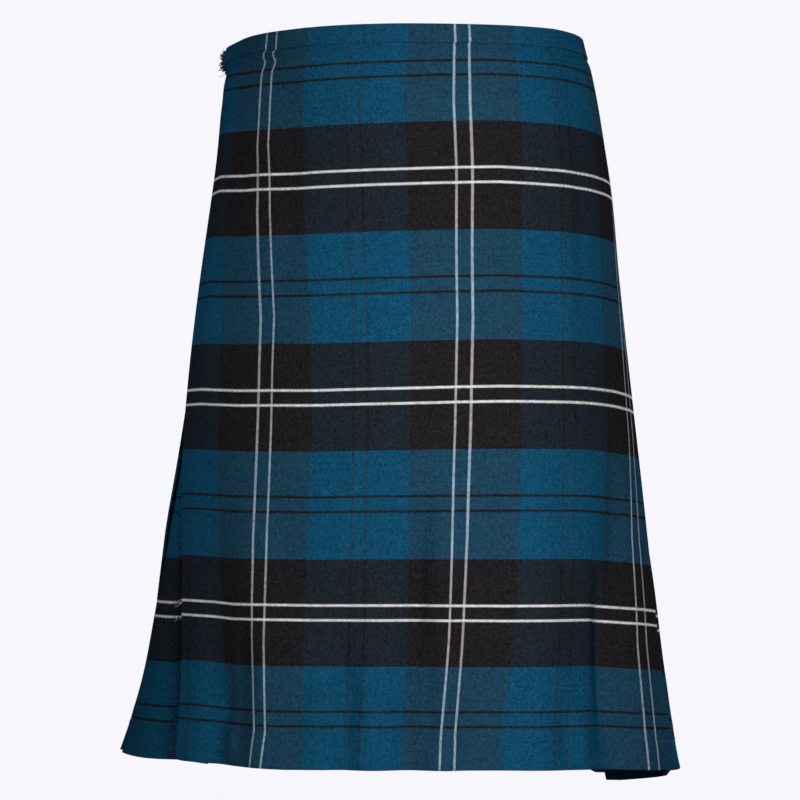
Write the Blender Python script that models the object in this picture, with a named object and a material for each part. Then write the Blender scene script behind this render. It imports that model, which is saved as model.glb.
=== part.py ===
"""A worn kilt: over apron, knife-pleated back, under apron, waistband, apron fringe and two hip straps.

Metres, +Z up.  The wearer faces -Y and the wearer's left hip is at +X.  The origin is the centre of
the waist opening, level with the top edge, so the cloth hangs from z = 0 down to the hem.

Every height has one ring, the outline of the cloth round the body.  A place on the kilt is given by
its arc along that ring from the middle of the front (positive to the wearer's left), its drop below
the waist, and its depth inside the ring.
"""

import math

import bmesh
import bpy
import numpy as np

# ---- driving sizes ------------------------------------------------------------------------------
LENGTH = 0.610          # waist to hem at the middle of the front
WALL = 0.0010           # cloth thickness
SEAM = 0.0003           # gap between two pieces that meet
HEM_DEPTH = 0.020       # turned-up hem
BAND_HEIGHT = 0.0145    # what shows of the waistband
BAND_GAP = 0.0003
STACK_CLEAR = 0.0012    # room inside the waistband for the folds' rounded edges
TOP_EDGE = -0.0016      # top of the cloth, under the waistband's lip
PLEATS = 16             # knife pleats across the back
DEEP_PLEAT = 0.115      # cloth folded under the apron at the left hip
UNDER_LAP = 0.022       # how far the last pleat runs under the apron's fringed edge
TUCK_REACH = 0.085      # from the fringed edge to where the pleats are back on the outline
APRON_COLUMNS = 40
UNDER_COLUMNS = 26
FRONT_BLEND = 0.16      # share of the under apron over which it comes away from the pleats
STUB = 0.004            # cloth left past the last fold at a seam
UPPER_CLOTH = 0.024     # drop at which the cloth has swelled clear of the waistband

# One row for each height where the outline changes its slope.  All pieces have these heights.
SECTION_COLUMNS = ("drop", "half_width", "front", "back", "shift", "fringe_edge", "fold_edge",
                   "pitch", "reach", "tucked", "under_front")
SECTIONS = np.array([
    # drop  half_w  front   back    shift   fringe  fold    pitch  reach  tucked  under
    (0.000, 0.1475, 0.1225, 0.1150, 0.0000, -0.262, 0.190, 0.0014, 3.50, 0.0050, 0.0075),
    (0.024, 0.1530, 0.1260, 0.1190, 0.0005, -0.266, 0.192, 0.0014, 3.50, 0.0050, 0.0075),
    (0.120, 0.1680, 0.1375, 0.1375, 0.0036, -0.283, 0.204, 0.0015, 3.40, 0.0026, 0.0055),
    (0.200, 0.1771, 0.1440, 0.1500, 0.0019, -0.292, 0.212, 0.0016, 3.00, 0.0028, 0.0055),
    (0.330, 0.1926, 0.1550, 0.1650, 0.0003, -0.287, 0.220, 0.0021, 2.50, 0.0045, 0.0070),
    (0.460, 0.2089, 0.1660, 0.1800, -0.0008, -0.256, 0.225, 0.0026, 2.00, 0.0085, 0.0100),
    (0.560, 0.2250, 0.1770, 0.1940, -0.0033, -0.244, 0.231, 0.0030, 1.75, 0.0115, 0.0120),
    (0.610, 0.2402, 0.1830, 0.2040, -0.0052, -0.241, 0.238, 0.0032, 1.65, 0.0130, 0.0130),
])
ROUNDNESS = 2.35        # exponent of the outline: 2 is an ellipse, higher is squarer

# The hem lifts a little where the cloth flares, and the waist sits a little lower on the wearer's
# right.  Share of the way round, and how far up.
HEM_LIFT = np.array([
    (-0.50, 0.0070), (-0.28, 0.0125), (-0.17, 0.0100), (-0.10, 0.0045), (0.00, 0.0030),
    (0.09, 0.0010), (0.15, -0.0025), (0.20, -0.0040), (0.32, 0.0030), (0.50, 0.0070),
])
WAIST_LIFT = np.array([
    (-0.50, 0.0000), (-0.29, -0.0035), (-0.16, -0.0032), (-0.05, -0.0006), (0.04, 0.0012),
    (0.12, 0.0030), (0.20, 0.0022), (0.50, 0.0000),
])
DEEP_PLEAT_SAG = 0.0085  # the folded-under cloth hangs this much below the apron's hem

# Soft folds of the apron near its hem.
APRON_FOLDS = (
    # arc, half width, how far out, drop where it begins, drop where it is full
    (-0.205, 0.016, 0.0035, 0.48, 0.60),
    (-0.165, 0.014, -0.0035, 0.50, 0.60),
    (-0.118, 0.018, 0.0040, 0.45, 0.60),
    (-0.072, 0.014, -0.0035, 0.44, 0.58),
    (-0.018, 0.020, -0.0030, 0.34, 0.52),
    (0.030, 0.022, 0.0030, 0.40, 0.58),
    (0.088, 0.014, -0.0035, 0.50, 0.60),
    (0.120, 0.013, 0.0030, 0.52, 0.60),
    (0.150, 0.012, -0.0025, 0.54, 0.60),
    (0.174, 0.036, 0.0095, 0.30, 0.58),     # the deep pleat pushes the apron out here
)
BAND_BULGE = 0.0016     # the cloth swells out just under the waistband
CORNER_LIFT = 0.0050    # the apron's top corner stands off over the strap beneath it
CORNER_REACH = 0.045

STRANDS = 104           # yarn bundles of the fringe
STRAND_LENGTH = 0.0135
FRINGE_STRIP = 0.0035
FRINGE_TOP = 0.028      # drop of the fringe's first strand
FRINGE_END = LENGTH - 0.004

STRAP_WIDTH = 0.025
STRAP_THICK = 0.0020
STRAP_DROP = 0.019      # middle of each strap below the waist
STRAP_GAP = 0.0004
STRAP_CLEAR = 0.0004    # the straps stand this much more off the waistband, which is faceted
TAB_THICK = 0.0012
TAB_LENGTH = 0.034
BUCKLE_LENGTH = 0.0195  # between the two bars
BAR_RADIUS = 0.0013
PRONG_RADIUS = 0.0009
SLOT = 0.0044           # slot for the prong

ROWS = SECTIONS[:, 0]


# ---- the outline and what is measured on it -----------------------------------------------------
def at(column, drop):
    """A column of SECTIONS at a drop below the waist."""
    return float(np.interp(drop, ROWS, SECTIONS[:, SECTION_COLUMNS.index(column)]))


class Ring:
    """The outline at one drop, read by arc from the middle of the front."""

    POINTS = 1440
    cache = {}

    def __init__(self, drop):
        half, front, back = at("half_width", drop), at("front", drop), at("back", drop)
        turn = np.linspace(-math.pi, math.pi, self.POINTS + 1)
        sine, cosine = np.sin(turn), np.cos(turn)
        power = 2 / ROUNDNESS
        x = at("shift", drop) + half * np.sign(sine) * np.abs(sine) ** power
        y = -np.where(cosine > 0, front, back) * np.sign(cosine) * np.abs(cosine) ** power
        steps = np.hypot(np.diff(x), np.diff(y))
        arc = np.concatenate([[0], np.cumsum(steps)])
        self.arc = arc - arc[self.POINTS // 2]
        self.x, self.y = x, y
        self.girth = self.arc[-1] - self.arc[0]

    @classmethod
    def of(cls, drop):
        key = round(drop, 6)
        if key not in cls.cache:
            cls.cache[key] = cls(drop)
        return cls.cache[key]

    def wrap(self, arc):
        return (arc - self.arc[0]) % self.girth + self.arc[0]

    def point(self, arc):
        arc = self.wrap(arc)
        return np.array([np.interp(arc, self.arc, self.x), np.interp(arc, self.arc, self.y)])

    def inward(self, arc, span=0.004):
        ahead, behind = self.point(arc + span), self.point(arc - span)
        along = (ahead - behind) / np.linalg.norm(ahead - behind)
        return np.array([-along[1], along[0]])


def height(arc, drop):
    """z at a drop below the waist, with the waist's and hem's lift shared out along the length."""
    ring = Ring.of(drop)
    share = ring.wrap(arc) / ring.girth
    hem = -LENGTH + float(np.interp(share, HEM_LIFT[:, 0], HEM_LIFT[:, 1]))
    top = TOP_EDGE + float(np.interp(share, WAIST_LIFT[:, 0], WAIST_LIFT[:, 1]))
    return top + (hem - top) * drop / LENGTH


def on_ring(arc, depth, drop, sag=0.0):
    """The point at an arc, a depth inside the outline and a drop."""
    ring = Ring.of(drop)
    spot = ring.point(arc) + ring.inward(arc) * depth
    return (spot[0], spot[1], height(arc, drop) - sag)


def smooth(value, low, high):
    share = min(1.0, max(0.0, (value - low) / (high - low)))
    return share * share * (3 - 2 * share)


def apron_depth(arc, drop):
    """How deep the over apron's outer face lies: its folds, the swell under the band, the corner."""
    out = 0.0
    for middle, half, size, begins, full in APRON_FOLDS:
        out += size * math.exp(-((arc - middle) / half) ** 2) * smooth(drop, begins, full)
    out += BAND_BULGE * smooth(drop, BAND_HEIGHT, UPPER_CLOTH) * (1 - smooth(drop, UPPER_CLOTH, 0.100))
    from_edge = (arc - at("fringe_edge", drop)) / CORNER_REACH
    corner = smooth(drop, 0.004, 0.026) * (1 - smooth(drop, 0.030, 0.052))
    out += CORNER_LIFT * math.exp(-3 * from_edge ** 2) * corner
    return -out


# ---- pleats: stations at the pleats' edges ------------------------------------------------------
SPARE_STATIONS = 5      # stations kept past each end, for the folds' hidden parts
HEM_SHARES = np.concatenate([np.full(PLEATS - 1, 1.0), [3.5]])     # the last pleat opens wide
LAST_FACETS = (PLEATS - 0.75, PLEATS - 0.5, PLEATS - 0.25)
STOP_STEP = 0.2         # stations between a fold's hidden columns near its inner end


def pleat_edges(drop):
    """Arcs of the stations: 0 is the apron's fold at the left hip, PLEATS the last pleat's edge."""
    ring = Ring.of(drop)
    start = at("fold_edge", drop)
    end = ring.girth + at("fringe_edge", drop) + UNDER_LAP
    flare = smooth(drop, 0.200, LENGTH)
    shares = 1 + (HEM_SHARES - 1) * flare
    widths = shares * (end - start) / shares.sum()
    edges = start + np.concatenate([[0], np.cumsum(widths)])
    before = start - widths[0] * np.arange(SPARE_STATIONS, 0, -1)
    after = end + widths[-1] * np.arange(1, SPARE_STATIONS + 1)
    return np.concatenate([before, edges, after])


STATIONS = np.arange(-SPARE_STATIONS, PLEATS + SPARE_STATIONS + 1)
KNOTS = np.sort(np.concatenate([STATIONS, LAST_FACETS]))    # stations where the flat facets meet


def station_arc(station, drop):
    return float(np.interp(station, STATIONS, pleat_edges(drop)))


def on_facets(arc, depth, drop, sag=0.0):
    """As on_ring, but on the flat facets between knots, so that stacked layers stay parallel."""
    edges = np.interp(KNOTS, STATIONS, pleat_edges(drop))
    index = int(np.clip(np.searchsorted(edges, arc) - 1, 0, len(edges) - 2))
    share = (arc - edges[index]) / (edges[index + 1] - edges[index])
    low = np.array(on_ring(edges[index], depth, drop, sag))
    high = np.array(on_ring(edges[index + 1], depth, drop, sag))
    return tuple(low + (high - low) * share)


def facet_gap(arc, drop):
    """How far the flat facet lies inside the smooth outline."""
    return float(np.linalg.norm(np.subtract(on_ring(arc, 0, drop), on_facets(arc, 0, drop))))


def tucked(station, drop):
    """Extra depth of the last pleats, under the apron's fringed edge; straight between stations."""
    edge = Ring.of(drop).girth + at("fringe_edge", drop)
    low = math.floor(station)
    near, far = (smooth(station_arc(s, drop), edge - TUCK_REACH, edge - 0.018) for s in (low, low + 1))
    return at("tucked", drop) * (near + (far - near) * (station - low))


def stops(inner, outer, count):
    """The whole stations below outer, held above the inner fold where that comes sooner."""
    return [max(outer - k, inner + STOP_STEP * (count + 1 - k)) for k in range(count, 0, -1)]


# ---- walls --------------------------------------------------------------------------------------
def turned(station, depth, pitch, drop, side):
    """Three stops of a fold's round edge, from one layer to the next one in; side is +1 or -1."""
    edge = station_arc(station, drop)
    return [(edge, depth), (edge + side * pitch / 2, depth + pitch / 2), (edge, depth + pitch)]


def offset_pair(path, thick):
    """The two faces of a wall whose middle line is path, a list of (arc, depth)."""
    line = np.array(path)
    along = np.diff(line, axis=0)
    along /= np.linalg.norm(along, axis=1)[:, None]
    normals = np.stack([along[:, 1], -along[:, 0]], axis=1)
    before = np.vstack([normals[:1], normals])
    after = np.vstack([normals, normals[-1:]])
    middle = before + after
    middle /= np.linalg.norm(middle, axis=1)[:, None]
    reach = np.asarray(thick) / 2 / np.clip((middle * after).sum(axis=1), 0.6, 1.0)
    return line + middle * reach[:, None], line - middle * reach[:, None]


def add_object(name, vertices, faces, material, smooth_angle=None):
    mesh = bpy.data.meshes.new(name)
    mesh.from_pydata([tuple(map(float, v)) for v in vertices], [], faces)
    shape = bmesh.new()
    shape.from_mesh(mesh)
    if shape.calc_volume(signed=True) < 0:
        bmesh.ops.reverse_faces(shape, faces=shape.faces[:])
    shape.to_mesh(mesh)
    shape.free()
    mesh.materials.append(material)
    solid = bpy.data.objects.new(name, mesh)
    bpy.context.scene.collection.objects.link(solid)
    if smooth_angle is not None:
        mesh.shade_smooth()
        mesh.set_sharp_from_angle(angle=math.radians(smooth_angle))
    return solid


def loft(name, loops, material, closed=False, smooth_angle=40):
    """A solid through loops of points.  Each loop is a closed section; closed joins last to first."""
    size = len(loops[0])
    vertices = [point for loop in loops for point in loop]
    faces = []
    spans = len(loops) if closed else len(loops) - 1
    for i in range(spans):
        here, there = i * size, (i + 1) % len(loops) * size
        for j in range(size):
            k = (j + 1) % size
            faces.append((here + j, here + k, there + k, there + j))
    if not closed:
        faces.append(tuple(reversed(range(size))))
        faces.append(tuple(range((len(loops) - 1) * size, len(loops) * size)))
    return add_object(name, vertices, faces, material, smooth_angle)


def runs_back(point, following):
    """Whether the wall runs clockwise from point to following, against the growing arc."""
    return point[0] * following[1] < point[1] * following[0]


def cloth_wall(name, rows, material):
    """A wall from rows of (outer, inner) point lists, top row first, closed at all four edges.

    Each four-sided face starts at a corner that gives stacked layers the same diagonal.
    """
    columns = len(rows[0][0])
    vertices, faces = [], []
    for outer, inner in rows:
        vertices += list(outer) + list(inner)
    stride = 2 * columns
    for i in range(len(rows) - 1):
        top, low = i * stride, (i + 1) * stride
        for j in range(columns - 1):
            near = (top + j, low + j, low + j + 1, top + j + 1)
            far = tuple(columns + corner for corner in reversed(near))
            back = int(runs_back(*rows[i][0][j:j + 2]))
            faces += [near[back:] + near[:back], far[1 - back:] + far[:1 - back]]
        for j, turn in ((0, False), (columns - 1, True)):
            side = (top + j, top + columns + j, low + columns + j, low + j)
            faces.append(tuple(reversed(side)) if turn else side)
    last = (len(rows) - 1) * stride
    for j in range(columns - 1):
        faces.append((j, j + 1, columns + j + 1, columns + j))
        faces.append((last + j + 1, last + j, last + columns + j, last + columns + j + 1))
    return add_object(name, vertices, faces, material, 50)


def wall_rows(path_at, place, drops, thick_at=None, sag_at=None):
    """Rows for cloth_wall from path_at(drop), the wall's middle line, laid by place."""
    rows = []
    for drop in drops:
        path = path_at(drop)
        thick = WALL if thick_at is None else thick_at(drop)
        sags = [0.0] * len(path) if sag_at is None else sag_at(drop, len(path))
        faces = offset_pair(path, thick)
        rows.append(tuple(
            [place(arc, depth, drop, sag) for (arc, depth), sag in zip(face, sags)]
            for face in faces
        ))
    return rows


# ---- cloth pieces -------------------------------------------------------------------------------
DEEP_STEPS = 6          # columns of the cloth folded under at the left hip
HEM_LINE = LENGTH - HEM_DEPTH
EXTRA_DROPS = (BAND_HEIGHT, 0.034, 0.050, 0.080, 0.160, 0.265, 0.395, 0.510, HEM_LINE, HEM_LINE + 0.0008)
APRON_DROPS = sorted(set(ROWS) | set(EXTRA_DROPS))


def apron_path(drop):
    """The over apron from its fringed edge to the left hip, then folded under, and a stub back."""
    left, right, pitch = at("fringe_edge", drop), at("fold_edge", drop), at("pitch", drop)
    front = np.linspace(left, right, APRON_COLUMNS)
    path = [(arc, WALL / 2 + apron_depth(arc, drop)) for arc in front]
    start = path[-1][1]
    path += [(right + pitch / 2, start + pitch / 2), (right, start + pitch)]
    step = DEEP_PLEAT / DEEP_STEPS
    for k in range(1, DEEP_STEPS + 1):
        arc = right - k * step
        path.append((arc, WALL / 2 + pitch + apron_depth(arc, drop)))
    arc, depth = path[-1]
    path += [(arc - pitch / 2, depth + pitch / 2), (arc, depth + pitch), (arc + STUB, depth + pitch)]
    return path


def apron_sag(drop, count):
    """The folded-under cloth hangs lower towards its inner edge, most of all at the hem."""
    folded = count - APRON_COLUMNS
    share = (drop / LENGTH) ** 4
    down = [DEEP_PLEAT_SAG * share * min(1.0, k / (DEEP_STEPS * 0.85)) for k in range(folded)]
    return [0.0] * APRON_COLUMNS + down


def hem_thickness(drop):
    """The turned-up hem doubles the cloth."""
    return WALL * (1.9 if drop > HEM_LINE + 1e-4 else 1.0)


def over_apron(cloth):
    rows = wall_rows(apron_path, on_ring, APRON_DROPS, hem_thickness, apron_sag)
    return cloth_wall("over_apron", rows, cloth)


def pleat_path(drop):
    """Knife pleats from the left hip, across the back, to the right hip."""
    pitch, reach = at("pitch", drop), at("reach", drop)
    start = station_arc(0, drop) - DEEP_PLEAT + STUB + SEAM
    first = float(np.interp(start, pleat_edges(drop), STATIONS))

    def face(pleat, station):
        rise = 2 * pitch * (pleat - station)
        if pleat == 1:
            rise = min(rise, 2 * pitch + 0.0006)
        return station_arc(station, drop), WALL / 2 + rise + tucked(station, drop)

    def back(pleat, station):
        rise = pitch * (1 + 2 * (pleat - station))
        return station_arc(station, drop), WALL / 2 + rise + tucked(station, drop)

    path = [face(1, first)]
    for pleat in range(1, PLEATS + 1):
        if pleat == 1:
            path += [face(1, s) for s in stops(first, 1, 4)]
        else:
            path += [face(pleat, s) for s in stops(pleat - 1 - reach, pleat, 4)]
        for from_edge in (0.75, 0.5, 0.25) if pleat > PLEATS - 2 else (0.5,):
            arc, depth = face(pleat, pleat - from_edge)
            share = 4 * from_edge * (1 - from_edge)
            swell = 0.5 * pitch * share * smooth(drop, 0.2, LENGTH)
            path.append((arc, depth - swell - facet_gap(arc, drop)))
        path += turned(pleat, face(pleat, pleat)[1], pitch, drop, +1)
        inner = pleat - reach
        if pleat == PLEATS:
            path += [back(pleat, s) for s in reversed(LAST_FACETS)]
        path += [back(pleat, s) for s in reversed(stops(inner, pleat, 3))]
        path += turned(inner, back(pleat, inner)[1], pitch, drop, -1)
    edge, depth = path[-1]
    path.append((edge + STUB, depth))
    return path


def back_pleats(cloth):
    rows = wall_rows(pleat_path, on_facets, ROWS)
    return cloth_wall("back_pleats", rows, cloth)


def stack_depth(station, drop):
    """Depth of the innermost face of the stacked layers at a station."""
    layers = min(1 + at("reach", drop), PLEATS + 1 - station)
    return 2 * at("pitch", drop) * layers + WALL + tucked(station, drop)


def folds_end(drop):
    """Arc where the layers folded under at the left hip stop, going towards the front."""
    deepest = max(DEEP_PLEAT, station_arc(0, drop) - station_arc(-at("reach", drop), drop))
    return at("fold_edge", drop) - deepest


def under_depth(arc, drop):
    """Depth of the under apron in front: close behind the apron, then inside the left-hip folds."""
    near, far = at("under_front", drop), stack_depth(0, drop) + 0.0030
    end = folds_end(drop)
    return near + (far - near) * smooth(arc, end - 0.070, end - 0.006)


def under_path(drop):
    """The under apron from the last pleat's inner fold, round the front, to the left hip."""
    pitch = at("pitch", drop)
    fold = PLEATS - at("reach", drop)
    inner = float(np.interp(station_arc(fold, drop) + STUB + SEAM, pleat_edges(drop), STATIONS))

    def behind(station):
        rise = 2 * pitch * (PLEATS + 1 - station)
        return station_arc(station, drop), WALL / 2 + rise + tucked(station, drop)

    path = [behind(inner)] + [behind(s) for s in stops(fold, PLEATS, 3)]
    path += [behind(s) for s in LAST_FACETS + (PLEATS,)]
    girth = Ring.of(drop).girth
    begin, before = behind(PLEATS)
    end = girth + at("fold_edge", drop) - STUB
    for share in [0.01] + list(np.linspace(0, 1, UNDER_COLUMNS)[1:]):
        arc = begin + (end - begin) * share
        depth = WALL / 2 + under_depth(arc - girth, drop)
        path.append((arc, before + (depth - before) * smooth(share, 0.0, FRONT_BLEND)))
    return path


def on_facets_then_ring(arc, depth, drop, sag=0.0):
    """The under apron lies on the pleats' facets behind, and on the smooth outline in front."""
    inside = arc <= station_arc(PLEATS, drop) + 1e-6
    return on_facets(arc, depth, drop, sag) if inside else on_ring(arc, depth, drop, sag)


def under_apron(cloth):
    rows = wall_rows(under_path, on_facets_then_ring, ROWS)
    return cloth_wall("under_apron", rows, cloth)


# ---- waistband ----------------------------------------------------------------------------------
def raised(point, lift):
    return (point[0], point[1], point[2] + lift)


def band(name, columns, material):
    """A strip folded over a top edge.

    A column is (outer top, outer low, inner top, inner low): the covered cloth's two faces at the
    top edge and at the band's lower edge, each as a near and a far point.  Without an inner low
    the band has an outer wall and a lip only.
    """
    loops = []
    for outer_top, outer_low, inner_top, inner_low in columns:
        loop = [outer_low[1], outer_low[0], raised(outer_top[0], BAND_GAP)]
        loop.append(raised(inner_top[0], BAND_GAP))
        if inner_low:
            loop += [inner_low[0], inner_low[1]]
        loop.append(raised(inner_top[1], BAND_GAP + WALL))
        loop.append(raised(outer_top[1], BAND_GAP + WALL))
        loops.append(loop)
    return loft(name, loops, material)


def near_far(path, place, drop, side):
    """Pairs of points beside each point of a wall's middle line: one gap off it, and a wall more."""
    faces = [offset_pair(path, WALL + 2 * off)[side] for off in (BAND_GAP, BAND_GAP + WALL)]
    return [tuple(place(arc, depth, drop) for arc, depth in pair) for pair in zip(*faces)]


def waistband_front(cloth):
    top, low = (apron_path(drop)[:APRON_COLUMNS] for drop in (0.0, BAND_HEIGHT))
    outer_top, outer_low = near_far(top, on_ring, 0.0, 0), near_far(low, on_ring, BAND_HEIGHT, 0)
    end, deep = folds_end(0.0), stack_depth(0, 0.0)
    columns = []
    for (arc, depth), above, below in zip(top, outer_top, outer_low):
        reach = depth + WALL / 2 + (deep - WALL) * smooth(arc, end - 0.014, end)
        inner = on_ring(arc, reach, 0.0)
        columns.append((above, below, (inner, inner), None))
    return band("waistband_front", columns, cloth)


def waistband_back(cloth):
    def beside(station, drop, depth, side):
        arc = station_arc(station, drop)
        return tuple(on_ring(arc, depth + side * off, drop) for off in (BAND_GAP, BAND_GAP + WALL))

    columns = []
    first = SEAM / (station_arc(1, 0.0) - station_arc(0, 0.0))
    for station in [first] + list(np.arange(0.5, PLEATS + 0.1, 0.5)):
        faces = [beside(station, drop, tucked(station, drop), -1) for drop in (0.0, BAND_HEIGHT)]
        for drop in (0.0, BAND_HEIGHT):
            faces.append(beside(station, drop, stack_depth(station, drop) + STACK_CLEAR, 1))
        columns.append(faces)
    return band("waistband_back", columns, cloth)


def waistband_under(cloth):
    first = 9               # the first column clear of the pleats' waistband
    faces = []
    for side in (0, 1):
        for drop in (0.0, BAND_HEIGHT):
            faces.append(near_far(under_path(drop), on_facets_then_ring, drop, side)[first:])
    return band("waistband_under", list(zip(*faces)), cloth)


# ---- fringe -------------------------------------------------------------------------------------
def apron_fringe(yarn):
    """A narrow strip beside the apron's free edge, with yarn bundles standing out from it."""
    stops = np.linspace(FRINGE_TOP, FRINGE_END, 2 * STRANDS + 1)
    vertices, faces = [], []

    def corner(drop, beyond, depth, down=0.0):
        edge = at("fringe_edge", drop)
        base = apron_depth(edge, drop)
        return on_ring(edge - beyond, base + depth, drop, down)

    for drop in stops:
        vertices += [corner(drop, SEAM, 0.0), corner(drop, SEAM + FRINGE_STRIP, 0.0),
                     corner(drop, SEAM + FRINGE_STRIP, WALL), corner(drop, SEAM, WALL)]
    count = len(stops)
    for i in range(count - 1):
        here, there = 4 * i, 4 * (i + 1)
        for a, b in ((0, 1), (2, 3), (3, 0)):
            faces.append((here + a, there + a, there + b, here + b))
        root = (here + 1, there + 1, there + 2, here + 2)
        if i % 2 == 0:
            middle = (stops[i] + stops[i + 1]) / 2
            spread = (stops[i + 1] - stops[i]) * 0.32
            sway = 0.0012 * math.sin(i * 2.4)
            reach = STRAND_LENGTH * (0.86 + 0.14 * math.sin(i * 1.7))
            tips = len(vertices)
            for side, depth in ((-1, 0.0000), (1, 0.0000), (1, 0.0006), (-1, 0.0006)):
                vertices.append(corner(middle + side * spread, SEAM + FRINGE_STRIP + reach,
                                       depth - 0.0006 - sway * 0.3, 0.0022 + sway))
            ends = (tips, tips + 1, tips + 2, tips + 3)
            for k in range(4):
                n = (k + 1) % 4
                faces.append((root[k], root[n], ends[n], ends[k]))
            faces.append(ends)
        else:
            faces.append(root)
    faces.append((3, 2, 1, 0)[::-1])
    last = 4 * (count - 1)
    faces.append((last + 3, last + 2, last + 1, last))
    return add_object("apron_fringe", vertices, faces, yarn)


# ---- hip straps ---------------------------------------------------------------------------------
def over_band(station, out, across):
    """A point outside the pleats' waistband; across runs down from the strap's middle line."""
    drop = STRAP_DROP + across
    low = math.floor(station * 2) / 2
    ends = []
    for s in (low, low + 0.5):
        depth = tucked(s, drop) - BAND_GAP - WALL - STRAP_CLEAR - out
        ends.append(np.array(on_ring(station_arc(s, drop), depth, drop)))
    return tuple(ends[0] + (ends[1] - ends[0]) * (station - low) * 2)


def strip(name, path, thick, place, material, widths=None, slots=()):
    """A leather strip along path, a list of (along, out), with slots in the middle of its width.

    slots holds the numbers of the spans that are cut out between the strip's two middle lanes.
    """
    faces_at = offset_pair(path, thick)
    half = STRAP_WIDTH / 2
    lanes = (-half, -SLOT / 2, SLOT / 2, half)
    widths = widths or [1.0] * len(path)
    vertices, faces = [], []
    for face in faces_at:
        for (along, out), width in zip(face, widths):
            vertices += [place(along, out, lane * width) for lane in lanes]
    count = len(path)

    def corner(side, i, lane):
        return (side * count + i) * len(lanes) + lane

    cells = {(i, lane) for i in range(count - 1) for lane in range(3)} - {(i, 1) for i in slots}
    for i, lane in sorted(cells):
        around = ((0, 0), (1, 0), (1, 1), (0, 1))
        top = [corner(0, i + along, lane + across) for along, across in around]
        low = [v + count * len(lanes) for v in top]
        faces += [tuple(top), tuple(reversed(low))]
        beside = ((i, lane - 1), (i + 1, lane), (i, lane + 1), (i - 1, lane))
        for k, cell in enumerate(beside):
            if cell not in cells:
                n = (k + 1) % 4
                faces.append((top[n], top[k], low[k], low[n]))
    return add_object(name, vertices, faces, material, 40)


def tube(name, points, radius, material, closed=False, sides=6, tip=1.0):
    """A round bar through points, closed into a ring or capped; tip scales the last ring."""
    line = np.array(points)
    count = len(line)
    loops, across = [], None
    for i in range(count):
        ahead = line[(i + 1) % count] if closed else line[min(i + 1, count - 1)]
        behind = line[i - 1] if closed else line[max(i - 1, 0)]
        along = (ahead - behind) / np.linalg.norm(ahead - behind)
        if across is None:
            across = np.cross(along, (0.31, 0.27, 0.91))
        across = across - along * np.dot(across, along)
        across /= np.linalg.norm(across)
        other = np.cross(along, across)
        size = radius * (tip if i == count - 1 and not closed else 1.0)
        angles = 2 * math.pi * np.arange(sides) / sides
        loops.append([tuple(line[i] + size * (math.cos(a) * across + math.sin(a) * other)) for a in angles])
    if closed:
        turns = []
        for shift in range(sides):
            moved = loops[0][shift:] + loops[0][:shift]
            turns.append(np.linalg.norm(np.subtract(moved, loops[-1])))
        shift = int(np.argmin(turns))
        faces, size = [], sides
        vertices = [p for loop in loops for p in loop]
        for i in range(count):
            for j in range(size):
                k = (j + 1) % size
                if i < count - 1:
                    here, there, hop = i * size, (i + 1) * size, 0
                else:
                    here, there, hop = i * size, 0, shift
                faces.append((here + j, here + k, there + (k + hop) % size, there + (j + hop) % size))
        return add_object(name, vertices, faces, material, 40)
    return loft(name, loops, material)


def round_frame(length, reach, corner, out_at):
    """Points round a buckle's frame: (along, out, across), from the heel bar to the front bar."""
    centres = ((length - corner, reach - corner, 0), (corner, reach - corner, 1),
               (corner, corner - reach, 2), (length - corner, corner - reach, 3))
    points = []
    for along, across, quarter in centres:
        for step in range(3):
            angle = math.pi / 2 * (quarter + step / 2)
            here = along + corner * math.cos(angle)
            points.append((here, out_at(here), across + corner * math.sin(angle)))
    return points


def keeper(name, along, out, place, material):
    """A leather loop over the strap, its two feet beside the tab."""
    side, half, thick = STRAP_WIDTH / 2 + 0.0009, 0.0025, 0.0010
    path = [(-side, 0.0004), (-side, out - 0.0010), (0.0010 - side, out), (side - 0.0010, out),
            (side, out - 0.0010), (side, 0.0004)]
    loops = []
    for near, far in zip(*offset_pair(path, thick)):
        loops.append([place(along + a, point[1], point[0])
                      for a, point in ((-half, near), (-half, far), (half, far), (half, near))])
    return loft(name, loops, material)


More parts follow.
